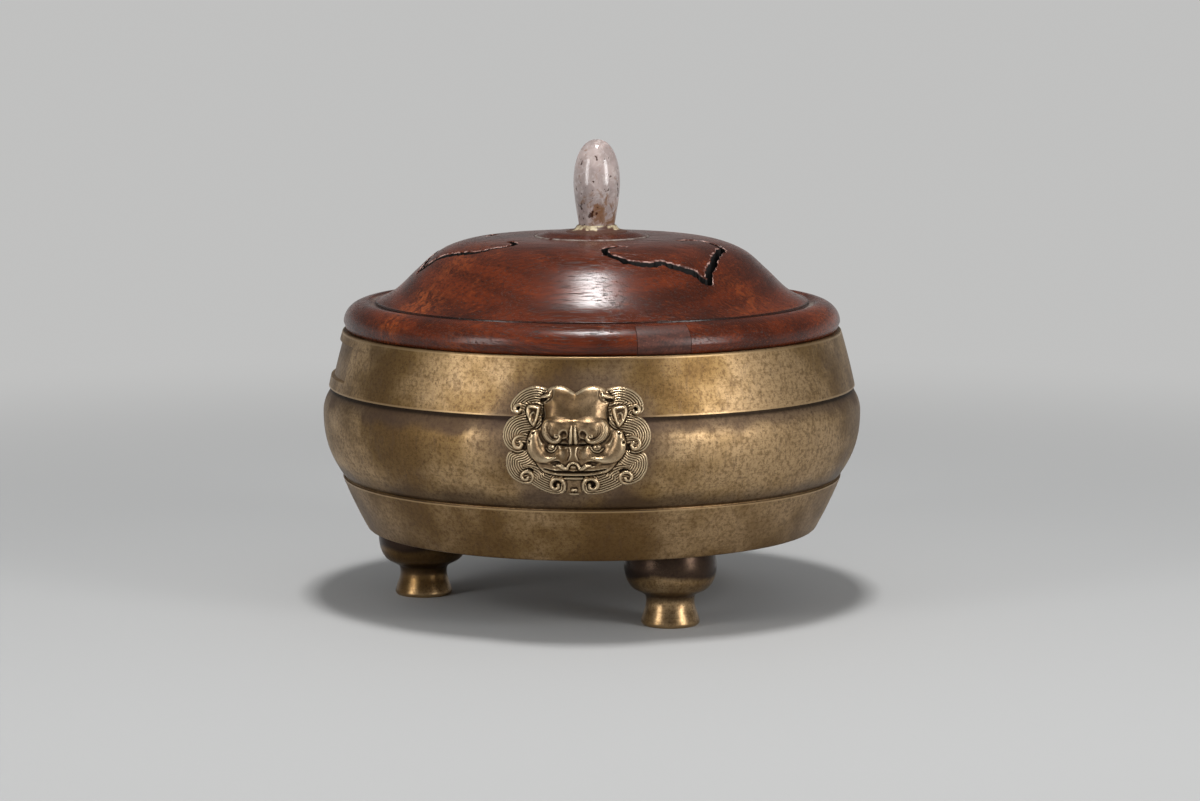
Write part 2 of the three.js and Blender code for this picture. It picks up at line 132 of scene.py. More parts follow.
# Lid, as heights above the mouth and radii
BEAD_HEIGHT = MOUTH + 2.4
BEAD_TOP_RADIUS = 64.6
BEAD_TOP = MOUTH + 8.1
GROOVE_FLOOR = MOUTH + 7.3
DOME_FOOT_RADIUS = 62.0
DOME_LIP = MOUTH + 8.3
DOME_THICKNESS = 6.2
DUST_RADIUS = 63.0
FLANGE_RADIUS = 66.2
FLANGE_INSIDE = 62.0

# Knob, its collar and its pin
KNOB_WAIST = KNOB_FOOT + 13.0
KNOB_FOOT_RADIUS = 4.9
KNOB_TAPER = 1.4
KNOB_CROWN = 2.2
COLLAR_HEIGHT = 1.9
COLLAR_RADIUS = 8.9
PIN_CLEARANCE = 0.15

# Pierced outlines: the strokes of a leaf between its corners, as radius and turn from its middle in degrees
SLIT_AZIMUTH = math.radians(13.5)
SLIT_COUNT = 3
SLIT_WIDTH = 1.55
SLIT_BEVEL = 0.26
SLIT_WANDER = 0.4
SLIT_CHIPS = 0.34
SLIT_FLOOR = MOUTH + 4.0
SLIT_NEAREST = 24.0
SLIT_FARTHEST = 54.0
SLIT_BESIDE = 1.2
LEAF = [
    [(30.8, -21), (29.8, -26), (31.5, -32), (34.8, -34.2), (38.5, -32.8), (41.7, -27.8), (43.5, -23),
     (43.8, -18.3), (43.1, -13.7)],
    [(43.1, -13.7), (45.5, -9.6), (46.9, -4.6), (48.9, -1.6), (50.1, 0.2)],
    [(50.1, 0.2), (47.4, 3.2), (44.6, 9), (42.6, 14.5), (41.3, 19.8), (39.9, 28)],
    [(39.9, 28), (37.7, 30.5), (34, 34.5), (30.5, 34.3), (28.4, 30), (27.6, 22)],
]

# Block let into the rim
PATCH_AZIMUTH = math.radians(109.7)
PATCH_HALF = math.radians(6.1)
PATCH_DEPTH = 4.2
PATCH_JOINT = 0.12

# Camera, fitted to the photograph
CAMERA_AZIMUTH = math.radians(93.5)
CAMERA_DISTANCE = 1050 * MM
CAMERA_HEIGHT = 194.2 * MM
CAMERA_ASIDE = 2.32 * MM
CAMERA_DOWN = math.radians(7.45)
CAMERA_LENS = 110.31
PHOTO_SENSOR = 36.0


def around(azimuth, radius, height):
    """Point at an azimuth, a distance from the axis and a height."""
    return (radius * math.sin(azimuth), -radius * math.cos(azimuth), height)


def between(start, end, share):
    return start + (end - start) * share


def steps(start, end, count):
    """Values from start to end in even steps, both ends included."""
    return [between(start, end, i / count) for i in range(count + 1)]


def curved(points, pieces=8):
    """Smooth line through the points, with so many steps between each pair."""
    knots = [np.array(p, float) for p in points]
    knots = [2 * knots[0] - knots[1], *knots, 2 * knots[-1] - knots[-2]]
    line = [knots[1]]
    for before, start, end, after in zip(knots, knots[1:], knots[2:], knots[3:]):
        for t in steps(0, 1, pieces)[1:]:
            line.append(0.5 * (2 * start + (end - before) * t
                               + (2 * before - 5 * start + 4 * end - after) * t ** 2
                               + (3 * start - before - 3 * end + after) * t ** 3))
    return [tuple(float(x) for x in p) for p in line]


def eased(outline, arcs=4):
    """The outline with its corners rounded where a point gives a third value, the length of the easing."""
    made = []
    for i, point in enumerate(outline):
        if len(point) == 2:
            made.append(tuple(point))
            continue
        here = np.array(point[:2], float)
        ends = []
        for other in (outline[i - 1], outline[(i + 1) % len(outline)]):
            way = np.array(other[:2], float) - here
            length = np.linalg.norm(way)
            ends.append(here + way / length * min(point[2], 0.45 * length))
        for t in steps(0, 1, arcs):
            bend = (1 - t) ** 2 * ends[0] + 2 * t * (1 - t) * here + t ** 2 * ends[1]
            made.append((float(bend[0]), float(bend[1])))
    return made


def smooth(mesh, crease):
    """Shades a mesh smooth except where its faces meet past the crease angle, in degrees."""
    mesh.shade_smooth()
    mesh.set_sharp_from_angle(angle=math.radians(crease))


def piece_from(name, points, faces, crease=30.0):
    """New mesh object from points in millimetres."""
    mesh = bpy.data.meshes.new(name)
    mesh.from_pydata((np.array(points, float) * MM).tolist(), [], faces)
    mesh.update()
    smooth(mesh, crease)
    piece = bpy.data.objects.new(name, mesh)
    bpy.context.scene.collection.objects.link(piece)
    return piece


def read(items, field):
    """A vector of every vertex or face, one row for each."""
    values = np.empty(len(items) * 3)
    items.foreach_get(field, values)
    return values.reshape(-1, 3)


def store(mesh, label, values, domain="POINT"):
    """Keeps a value of every vertex or face on the mesh, for its finish."""
    marks = mesh.attributes.new(label, "FLOAT", domain)
    marks.data.foreach_set("value", values.astype(np.float32))


def turned(name, outline, sides=360, centre=(0.0, 0.0), azimuths=None, crease=30.0):
    """Piece turned on a lathe. The outline starts and ends on the axis, or closes on itself."""
    azimuths = azimuths or [FULL_TURN * i / sides for i in range(sides)]
    sides = len(azimuths)
    points = []
    rings = []
    for radius, height in outline:
        first = len(points)
        if radius == 0:
            points.append((centre[0], centre[1], height))
            rings.append([first] * sides)
            continue
        for azimuth in azimuths:
            x, y, z = around(azimuth, radius, height)
            points.append((x + centre[0], y + centre[1], z))
        rings.append(list(range(first, first + sides)))
    if outline[0][0] != 0:
        rings.append(rings[0])
    faces = []
    for low, high in zip(rings, rings[1:]):
        for i in range(sides):
            j = (i + 1) % sides
            face = list(dict.fromkeys((low[i], low[j], high[j], high[i])))
            if len(face) > 2:
                faces.append(face)
    return piece_from(name, points, faces, crease)


def cut(piece, *cutters, operation="DIFFERENCE", crease=30.0):
    """The piece after a boolean with each cutter, which is then deleted."""
    for cutter in cutters:
        step = piece.modifiers.new("cut", "BOOLEAN")
        step.object = cutter
        step.operation = operation
        step.solver = "MANIFOLD"
        shape = piece.evaluated_get(bpy.context.evaluated_depsgraph_get())
        done = bpy.data.meshes.new_from_object(shape)
        piece.modifiers.clear()
        piece.data = done
        done.name = piece.name
        bpy.data.objects.remove(cutter)
    smooth(piece.data, crease)
    return piece


def ring_faces(first, count):
    """Faces from a ring of so many points to the ring that is numbered after it."""
    faces = []
    for i in range(count):
        j = (i + 1) % count
        faces.append([first + i, first + i + count, first + j + count, first + j])
    return faces


def swept(radius_at, low, high, count):
    """Points of an outline whose radius follows from their height."""
    return [(radius_at(z), z) for z in steps(low, high, count)]


# The wall of the vessel

def lower_band_at(height):
    share = (height - UNDERSIDE) / (LOWER_TOP - UNDERSIDE)
    return between(UNDERSIDE_RADIUS, LOWER_RADIUS, share) + LOWER_SWELL * 4 * share * (1 - share)


def middle_band_at(height):
    if height < BELLY:
        drop = (BELLY - height) / (BELLY - MIDDLE_FOOT)
        return BELLY_RADIUS - (BELLY_RADIUS - MIDDLE_FOOT_RADIUS) * drop ** BELLY_FULLNESS
    climb = (height - BELLY) / (MIDDLE_TOP - BELLY)
    return BELLY_RADIUS - (BELLY_RADIUS - MIDDLE_TOP_RADIUS) * climb ** 2


def upper_band_at(height):
    share = (height - UPPER_FOOT) / (MOUTH - UPPER_FOOT)
    return between(UPPER_RADIUS, RIM_RADIUS, share) + UPPER_SWELL * 4 * share * (1 - share)


def vessel_outline():
    shoulder = MIDDLE_TOP - 0.5
    lower = swept(lower_band_at, UNDERSIDE + 1, LOWER_TOP - 0.4, 10)
    middle = swept(middle_band_at, MIDDLE_FOOT + 0.4, shoulder, 40)
    upper = swept(upper_band_at, UPPER_FOOT + 0.5, PANEL_FOOT - 0.5, 4)
    sunk = swept(upper_band_at, PANEL_FOOT, PANEL_FOOT + PANEL_EDGE, 4)
    field_low = PANEL_FOOT + PANEL_EDGE
    field_high = PANEL_FOOT + PANEL_HEIGHT - PANEL_EDGE
    sunk += swept(upper_band_at, field_low, field_high, 16)[1:-1]
    sunk += swept(upper_band_at, field_high, field_high + PANEL_EDGE, 4)
    above = swept(upper_band_at, field_high + PANEL_EDGE + 0.4, MOUTH - 0.7, 4)
    inside = [(middle_band_at(z) - WALL, z) for z in steps(MIDDLE_TOP, FLOOR + FLOOR_CORNER, 16)]
    corner_radius = inside[-1][0]
    corner = [
        (corner_radius - FLOOR_CORNER * (1 - math.cos(t)), FLOOR + FLOOR_CORNER * (1 - math.sin(t)))
        for t in steps(0, math.pi / 2, 8)[1:]
    ]
    return eased([
        (0, UNDERSIDE + ROUNDEL_DEPTH),
        (ROUNDEL_RADIUS, UNDERSIDE + ROUNDEL_DEPTH, 0.4),
        (ROUNDEL_RADIUS + 0.3, UNDERSIDE, 0.4),
        (UNDERSIDE_RADIUS, UNDERSIDE, 0.45),
        *lower,
        (LOWER_RADIUS, LOWER_TOP, 0.28),
        (MIDDLE_FOOT_RADIUS - 0.5, LOWER_TOP + 0.05, 0.12),
        (MIDDLE_FOOT_RADIUS - 0.45, MIDDLE_FOOT - 0.15, 0.12),
        *middle,
        (MIDDLE_TOP_RADIUS - 0.15, MIDDLE_TOP + 0.35, 0.5),
        (UPPER_RADIUS - CREASE - 0.2, UPPER_FOOT - 0.25, 0.3),
        (UPPER_RADIUS - CREASE, UPPER_FOOT - 0.02, 0.1),
        (UPPER_RADIUS, UPPER_FOOT, 0.22),
        *upper, *sunk, *above,
        (RIM_RADIUS, MOUTH, 0.5),
        (MOUTH_RADIUS, MOUTH, 0.4),
        (MOUTH_RADIUS, MOUTH - 6, 0.3),
        *inside, *corner,
        (0, FLOOR),
    ])


def panel_azimuths():
    """Azimuths of the vessel's grid, closer together at the two ends of the sunk panel."""
    inner = PANEL_HALF - PANEL_EDGE_TURN
    side = steps(inner, PANEL_HALF, 4)
    field = steps(-inner, inner, 36)[1:-1]
    rest = steps(PANEL_HALF, FULL_TURN - PANEL_HALF, 330)[1:-1]
    return [-a for a in reversed(side)] + field + side + rest


def step_up(value, start, end):
    """0 before start, 1 after end, and a smooth rise between."""
    t = np.clip((value - start) / (end - start), 0, 1)
    return t * t * (3 - 2 * t)


def make_vessel():
    """Vessel off the lathe, with its panel pressed in and its inside marked for the finish."""
    piece = turned("bronze_vessel", vessel_outline(), azimuths=panel_azimuths())
    mesh = piece.data
    places = read(mesh.vertices, "co") / MM
    radius = np.hypot(places[:, 0], places[:, 1])
    turn = np.abs(np.arctan2(places[:, 0], -places[:, 1]))
    height = places[:, 2]
    sunk = 1 - step_up(turn, PANEL_HALF - PANEL_EDGE_TURN, PANEL_HALF)
    sunk *= step_up(height, PANEL_FOOT, PANEL_FOOT + PANEL_EDGE)
    sunk *= 1 - step_up(height, PANEL_FOOT + PANEL_HEIGHT - PANEL_EDGE, PANEL_FOOT + PANEL_HEIGHT)
    sunk *= radius > MOUTH_RADIUS + 2
    places[:, :2] *= (1 - sunk * PANEL_DEPTH / np.maximum(radius, 1))[:, None]
    mesh.vertices.foreach_set("co", (places * MM).ravel())
    mesh.update()
    smooth(mesh, 25)
    mouth = np.flatnonzero(height > MOUTH - 0.01)[0]
    inner = (np.arange(len(height)) >= mouth) & (radius < MOUTH_RADIUS + 0.5)
    store(mesh, "sunk", sunk)
    store(mesh, "inner", inner)
    return piece


def make_foot(name, azimuth):
    x, y, _ = around(azimuth, FOOT_CIRCLE, 0)
    side = curved([
        (8.15, 1.3), (7.65, 3.0), (6.95, 5.2), (6.75, 7.0), (7.15, 8.5), (8.6, 9.4),
        (10.7, 10.6), (12.2, 12.9), (FOOT_BULB, 16.0), (12.8, 18.6), (12.4, UNDERSIDE - 0.05),
    ], 6)
    outline = eased([(0, 0), (7.7, 0, 0.4), (8.2, 0.7, 0.5), *side, (0, UNDERSIDE - 0.05)])
    return turned(name, outline, sides=144, centre=(x, y), crease=50)


# The lion masks. Places are across and up from the middle of the mask, in millimetres, on one half of
# the face. Each lock of hair is a fan of strands that follow its outer edge and end in a coil.

LOCKS = [
    {
        "edge": [(8.2, 13.0), (10.0, 13.5), (12.0, 13.6), (14.2, 13.1), (16.0, 12.1), (17.5, 10.6),
                 (18.3, 8.9), (18.2, 7.4), (17.3, 6.4), (16.1, 6.2), (15.0, 6.5)],
        "root": [(13.0, 6.2), (9.0, 6.2)],
        "coil": [(14.4, 7.3), (14.9, 8.4), (16.0, 8.8), (16.9, 8.1), (16.7, 7.1), (15.8, 6.8), (15.3, 7.4)],
        "hole": (15.9, 7.75, 0.75, 0.6),
    },
    {
        "edge": [(13.0, 6.9), (15.2, 6.5), (17.2, 5.7), (18.7, 4.4), (19.7, 2.5), (20.0, 0.6),
                 (19.6, -1.2), (18.5, -2.8), (17.0, -3.8), (15.5, -4.1), (14.2, -3.7)],
        "root": [(12.6, -2.8), (9.0, 1.0), (9.0, 6.0)],
        "coil": [(12.9, -0.9), (13.6, 0.1), (14.9, 0.5), (16.2, 0.0), (16.8, -1.2), (16.3, -2.4),
                 (15.2, -2.6), (14.6, -1.8), (15.1, -1.0)],
        "hole": (13.9, -2.3, 1.5, 1.3),
    },
    {
        "edge": [(15.0, -2.6), (17.0, -3.2), (18.5, -4.3), (19.1, -6.2), (19.0, -8.2), (18.3, -9.9),
                 (17.2, -11.3), (15.6, -12.2), (13.9, -12.6), (12.5, -12.2)],
        "root": [(11.0, -11.0), (7.5, -8.0), (9.0, -3.0), (12.5, -1.5)],
        "coil": [(14.6, -12.3), (12.9, -12.2), (11.8, -11.3), (11.7, -10.1), (12.6, -9.2), (13.9, -9.2),
                 (14.7, -10.1), (14.4, -11.1), (13.4, -11.3), (13.0, -10.6)],
        "hole": (12.7, -8.7, 1.7, 0.9),
    },
    {
        "edge": [(12.6, -10.6), (12.6, -12.2), (11.2, -13.3), (9.2, -14.3), (7.0, -15.1), (5.0, -15.4),
                 (3.4, -15.2), (2.5, -14.3), (2.4, -13.0)],
        "root": [(2.6, -11.0), (4.0, -8.5), (9.0, -7.5)],
        "coil": [(2.6, -14.2), (2.5, -12.8), (2.9, -11.6), (4.0, -10.9), (5.3, -11.0), (6.2, -12.0),
                 (6.1, -13.2), (5.2, -13.8), (4.3, -13.4), (4.2, -12.5)],
        "hole": (4.6, -12.4, 1.5, 1.4),
    },
]
STRAND = 0.64
COIL_WIDTHS = [0.45, 0.6, 0.62, 0.6, 0.5]
COIL_CRESTS = [1.5, 2.0, 2.2, 2.3, 2.2]
CROWN = [
    (0, 12.0), (0.8, 12.4), (1.9, 13.1), (3.2, 13.6), (4.7, 13.8), (6.3, 13.6), (7.9, 13.0), (9.1, 12.0),
    (9.5, 10.8), (9.0, 9.2), (8.5, 7.4), (8.4, 5.4), (9.4, 3.4), (10.6, 2.5), (12.0, 2.1), (12.9, 0.9),
    (13.1, -1.6), (12.9, -3.0), (12.1, -4.6), (11.2, -6.1), (10.3, -7.5), (9.2, -8.8), (7.7, -9.6),
    (4.0, -10.1), (0, -10.2),
]
EAR = [
    (9.5, 8.3), (11.4, 8.8), (13.4, 8.6), (13.7, 6.8), (12.9, 5.0), (12.0, 3.7), (11.1, 3.1), (10.4, 4.4),
    (9.8, 6.4),
]
BROW = [
    (5.6, 5.6), (6.9, 4.6), (7.5, 3.1), (7.4, 1.6), (6.7, 0.4), (5.5, -0.4), (4.2, -0.3), (3.55, 0.5),
    (3.9, 1.35), (4.7, 1.3), (4.8, 0.7),
]
BROW_WIDTHS = [0.5, 1.1, 1.4, 1.45, 1.2, 0.95, 0.75, 0.6, 0.52, 0.48, 0.4]
BROW_CRESTS = [3.1, 3.3, 3.4, 3.45, 3.55, 3.65, 3.8, 3.95, 4.05, 4.1, 4.1]


def step_between(values, share):
    """Value at each place along a route, from values at even steps."""
    return np.interp(share, np.linspace(0, 1, len(values)), values)


def softer_of(first, second, ease):
    """The higher of two reliefs, with the line where they meet eased."""
    return 0.5 * (first + second + np.sqrt((first - second) ** 2 + ease ** 2)) - 0.25 * ease


def round_rim(deep, reach):
    """Quarter circle from 0 at the edge to 1 at so much depth inside it."""
    t = np.clip(deep / reach, 0, 1)
    return np.sqrt(1 - (1 - t) ** 2)


class Relief:
    """Heights over the bed of a mask, at places x across one half of the face and y up from its middle.

    inside says how far each place lies within the outline; it is below 0 outside.
    """

    def __init__(self, x, y, height, inside):
        self.x = x
        self.y = y
        self.height = height
        self.inside = inside

    def nearest(self, route):
        """Distance from each place to a smooth route, and the share of the route up to the nearest point."""
        line = np.array(curved(route, 6))
        best = np.full(self.x.shape, 1e9)
        share = np.zeros(self.x.shape)
        for i, (start, end) in enumerate(zip(line, line[1:])):
            way = end - start
            dx = self.x - start[0]
            dy = self.y - start[1]
            t = np.clip((dx * way[0] + dy * way[1]) / (way @ way), 0, 1)
            far = np.hypot(dx - t * way[0], dy - t * way[1])
            nearer = far < best
            best = np.where(nearer, far, best)
            share = np.where(nearer, (i + t) / (len(line) - 1), share)
        return best, share

    def within(self, line):
        """Whether each place lies inside a closed line of points."""
        inside = np.zeros(self.x.shape, bool)
        for (ax, ay), (bx, by) in zip(line, line[1:] + line[:1]):
            if ay != by:
                crosses = (ay > self.y) != (by > self.y)
                inside ^= crosses & (self.x < (bx - ax) * (self.y - ay) / (by - ay) + ax)
        return inside

    def reach(self, inside):
        """Takes a further region into the outline."""
        self.inside = np.maximum(self.inside, inside)

    def lay(self, region, far, height, shadow, reach):
        """Lays a plate over a region and lowers what lies next to its edge."""
        beside = self.height - shadow * np.clip(1 - far / reach, 0, 1)
        self.height = np.where(region, height, beside)

    def raise_to(self, region, height):
        """Raises a region to a height where it is the higher."""
        self.height = np.where(region, np.maximum(self.height, height), self.height)

    def roll(self, route, widths, crests, ease=0.15, foot=1.2, round_by=0.5):
        """A roll along a route; its width and crest change on the way, its foot goes under the relief."""
        far, share = self.nearest(route)
        width = step_between(widths, share)
        hump = np.clip(1 - (far / width) ** 2, 0, 1) ** round_by
        raised = softer_of(self.height, step_between(crests, share) - foot * (1 - hump), ease)
        self.raise_to(far < width, raised)

    def groove(self, route, widths, depth):
        """A rounded groove along a route."""
        far, share = self.nearest(route)
        self.height = self.height - depth * np.clip(1 - (far / step_between(widths, share)) ** 2, 0, 1)

    def hollow(self, across, up, wide, high, floor, lean=0.0):
        """An oval pressed down to its floor; lean turns the oval, in degrees."""
        c, s = math.cos(math.radians(lean)), math.sin(math.radians(lean))
        dx, dy = self.x - across, self.y - up
        far = np.hypot((dx * c + dy * s) / wide, (dy * c - dx * s) / high)
        share = 1 - step_up(far, 0.45, 1.0)
        self.height = between(self.height, np.minimum(floor, self.height), share)

    def swell(self, across, up, wide, high, crest, ease=0.2, foot=2.0):
        """An oval dome raised up to its crest."""
        far = np.hypot((self.x - across) / wide, (self.y - up) / high)
        dome = crest - foot * (1 - np.sqrt(np.clip(1 - far ** 2, 0, 1)))
        self.raise_to(far < 1, softer_of(self.height, dome, ease))

    def lock(self, edge, root, coil, hole):
        """A lock of hair over what is there: the fan of strands, the hollow beside the coil, and the coil."""
        far, _ = self.nearest(edge)
        fan = self.within(curved(edge, 6) + root)
        strand = np.abs(np.sin(math.pi * far / STRAND)) ** 0.7
        height = 0.85 + 0.5 * round_rim(far, 2.2) + 0.48 * strand - 0.12 * step_up(far, 3, 7)
        height *= 0.55 + 0.45 * round_rim(far, 0.3)
        self.lay(fan, far, height, 0.5, 0.45)
        self.reach(np.where(fan, far, -far))
        self.hollow(*hole, 0.6)
        far, share = self.nearest(coil)
        width = step_between(COIL_WIDTHS, share)
        sag = 1.3 * (1 - np.sqrt(np.clip(1 - (far / width) ** 2, 0, 1)))
        self.raise_to(far < width, step_between(COIL_CRESTS, share) - sag)
        self.reach(width - far)


def mask_relief(u, y):
    """The whole relief of a mask, the same on both halves but for the slight turn of the face."""
    x = np.abs(u - 0.75 * step_up(np.abs(u), 3, 13) - 0.3 * step_up(y, 8, 12))
    form = Relief(x, y, np.full(x.shape, 0.6), 4 * (1 - np.hypot(x / 4.2, (y + 10.5) / 5.1)))
    for lock in reversed(LOCKS):
        form.lock(**lock)

    # Ear, over the hair
    far, _ = form.nearest(EAR + EAR[:1])
    lobe = 1.4 + 1.25 * round_rim(far, 0.6) - 0.85 * step_up(far, 0.4, 1.5)
    form.lay(form.within(curved(EAR + EAR[:1], 6)), far, lobe, 0.2, 0.5)
    form.roll([(10.9, 4.8), (12.0, 5.0), (12.3, 6.2), (11.5, 6.9), (11.0, 6.2)], [0.4, 0.45, 0.35],
              [2.2, 2.4, 2.1])

    # Plate of the face, with the two lobes of the crown
    far, _ = form.nearest(CROWN)
    face = form.within(curved(CROWN, 6))
    plate = 1.0 + 1.05 * round_rim(far, 1.8) + 0.5 * step_up(far, 0.5, 5)
    plate += 0.5 * np.exp(-((x - 4.2) / 3.2) ** 2 - ((y - 10.2) / 2.6) ** 2)
    plate += 0.95 * step_up(-y, -11.5, -6.5) * step_up(y, 1.0, 4.5) * (1 - step_up(x, 5.5, 8.5))
    plate *= 0.6 + 0.4 * round_rim(far, 0.5)
    form.lay(face, far, plate, 0.3, 0.6)
    form.reach(np.where(face, far, -far))

    # Tufts: small coils at the ends of the crown
    form.groove([(6.3, 12.7), (6.2, 11.4), (6.9, 10.3), (8.0, 9.7)], [0.25, 0.3, 0.3], 0.3)
    form.hollow(8.9, 10.2, 1.5, 0.7, 0.8, -20)
    form.roll([(7.0, 12.3), (7.2, 11.5), (8.2, 11.2), (9.6, 10.9)], [0.35, 0.5, 0.5, 0.3],
              [2.4, 3.0, 3.1, 2.6], 0.05, 1.0)
    form.groove([(8.0, 12.7), (8.1, 12.0), (9.0, 11.9)], [0.25, 0.25], 0.3)

    # Hollows of the eyes, then the balls with two folds under them
    form.hollow(8.6, 0.4, 3.0, 1.2, 1.5, 62)
    form.hollow(6.2, -2.1, 3.1, 2.7, 1.3)
    form.hollow(2.7, -0.9, 1.7, 1.8, 1.6)
    form.roll([(4.0, -2.6), (5.0, -3.9), (6.6, -4.2), (8.0, -3.4)], [0.3, 0.4, 0.4, 0.25],
              [1.9, 2.2, 2.2, 1.9], 0.1, 0.8)
    form.roll([(4.4, -2.0), (5.1, -3.1), (6.4, -3.4), (7.5, -2.5)], [0.25, 0.3, 0.3, 0.2],
              [2.0, 2.2, 2.2, 2.0], 0.1, 0.7)
    form.swell(6.0, -2.1, 1.15, 1.1, 2.9, 0.05)
    form.groove([(5.7, -2.5), (6.4, -2.3)], [0.3, 0.3], 0.4)

    # Brow: one full mass over both eyes that turns down at the temples and ends in coils
    form.swell(0, 4.0, 3.2, 2.6, 3.6, 0.9, 1.5)
    form.swell(3.7, 3.4, 4.3, 3.6, 4.6, 0.5, 3.1)
    form.hollow(2.6, 0.7, 1.2, 2.1, 2.8, 10)
    form.roll(BROW, BROW_WIDTHS, BROW_CRESTS, 0.35, 1.4, 0.8)
    far, share = form.nearest(BROW)
    hair = np.abs(np.sin(math.pi * far / 0.46)) * step_up(share, 0.05, 0.2) * (1 - step_up(share, 0.56, 0.68))
    form.height = form.height - np.where(far < 1.6, 0.2 * hair, 0)
    form.swell(4.35, 0.75, 0.42, 0.42, 4.2, 0.03, 1.0)

    # Nose: a bridge with a double ridge, running out of the brow
    form.roll([(0, 4.8), (0, 3.0), (0, 1.2), (0, -0.2)], [1.1, 1.35, 1.4, 1.3],
              [3.7, 3.9, 3.8, 3.5], 0.4, 1.9, 0.9)
    form.roll([(0.5, 4.2), (0.5, 2.6), (0.56, 0.9), (0.72, -0.8)], [0.2, 0.42, 0.48, 0.42],
              [3.9, 4.6, 4.6, 4.2], 0.05, 0.8)
    form.groove([(0, -1.6), (2.0, -1.6), (4.0, -1.4)], [0.5, 0.45, 0.3], 0.8)

    # Cheek: a broad band from the ear down to the muzzle, with a knob at its top
    cheek = [(11.2, 1.4), (11.4, -0.8), (11.0, -3.0), (9.7, -4.7), (8.0, -5.5), (6.3, -5.4), (4.9, -5.0)]
    form.roll(cheek, [1.2, 1.75, 1.9, 1.7, 1.25, 0.8, 0.5],
              [2.9, 3.3, 3.5, 3.6, 3.6, 3.4, 3.0], 0.5, 1.5, 0.8)
    form.hollow(12.4, -0.8, 0.5, 0.45, 1.6)
    form.swell(12.1, 0.0, 0.65, 0.55, 3.2, 0.1, 1.0)
    form.swell(12.5, -1.6, 0.5, 0.45, 2.9, 0.1, 1.0)
    form.hollow(11.3, 1.5, 0.7, 0.35, 2.0, -20)

    # Jaw: a smooth hollow under the cheek, open towards the mouth
    form.hollow(7.2, -7.6, 3.4, 1.15, 1.7, 12)
    form.hollow(4.9, -6.6, 1.9, 0.9, 1.4, -10)

    # Muzzle with its two pads
    form.swell(0, -4.2, 2.3, 3.0, 3.55, 0.3, 2.2)
    form.swell(2.5, -4.2, 1.9, 1.9, 3.2, 0.25, 1.8)
    form.groove([(1.2, -2.4), (1.0, -4.0), (1.5, -5.6)], [0.25, 0.3, 0.2], 0.35)

    # Upper lip: an arch in the middle and a curl on each side
    form.hollow(0, -7.4, 1.9, 1.3, 2.3)
    form.swell(0, -7.5, 1.25, 0.95, 3.0, 0.05, 1.5)
    lip = [(0, -6.25), (0.8, -6.5), (1.35, -7.2), (1.75, -7.95), (2.5, -7.8), (3.3, -7.2), (4.3, -7.1)]
    form.roll(lip, [0.35, 0.36, 0.36, 0.42, 0.55, 0.65, 0.4], [3.6, 3.65, 3.6, 3.55, 3.5, 3.3, 2.7],
              0.04, 1.0)
    form.roll([(0, -8.35), (0.9, -8.3)], [0.3, 0.2], [3.4, 3.0], 0.04, 0.8)

    # Mouth and lower lip
    form.groove([(0, -8.95), (3.5, -8.9), (6.0, -8.7), (8.2, -8.2)], [0.42, 0.4, 0.32, 0.2], 1.0)
    form.roll([(0, -9.6), (4.0, -9.55), (7.0, -9.2)], [0.4, 0.38, 0.24], [2.6, 2.5, 2.1], 0.05, 0.9)
    form.roll([(0, -10.8), (2.2, -10.8), (3.6, -10.9)], [0.45, 0.4, 0.2], [1.5, 1.4, 1.0], 0.05, 0.8)

    # Dark field under the chin, with its knob and rim
    form.hollow(0, -12.9, 2.3, 1.9, 0.35)
    form.swell(0.4, -14.2, 0.6, 0.6, 1.4, 0.05, 1.2)
    form.roll([(0, -15.35), (2.2, -15.25)], [0.3, 0.3], [1.0, 1.0], 0.04, 0.7)
    return form


def blurred(field, spread):
    """The field after a soft blur whose spread is in steps of the grid."""
    across = np.fft.fftfreq(field.shape[1])[None, :]
    up = np.fft.fftfreq(field.shape[0])[:, None]
    keep = np.exp(-2 * (math.pi * spread) ** 2 * (across ** 2 + up ** 2))
    return np.real(np.fft.ifft2(np.fft.fft2(field) * keep))


def wall_at(height):
    """Radius of the bronze wall behind the mask, with the ledge bridged."""
    low = np.vectorize(middle_band_at)(np.clip(height, MIDDLE_FOOT, MIDDLE_TOP))
    high = upper_band_at(np.maximum(height, UPPER_FOOT))
    lower = lower_band_at(np.minimum(height, LOWER_TOP))
    wall = np.where(height > UPPER_FOOT, high, low)
    return np.where(height < LOWER_TOP, lower, wall)


def mask_bed(height):
    share = np.clip((UPPER_FOOT - height) / (UPPER_FOOT - BELLY), 0, 1)
    bridge = between(UPPER_RADIUS, BELLY_RADIUS, np.sqrt(share))
    return np.where((height > BELLY) & (height < UPPER_FOOT), bridge, wall_at(height))


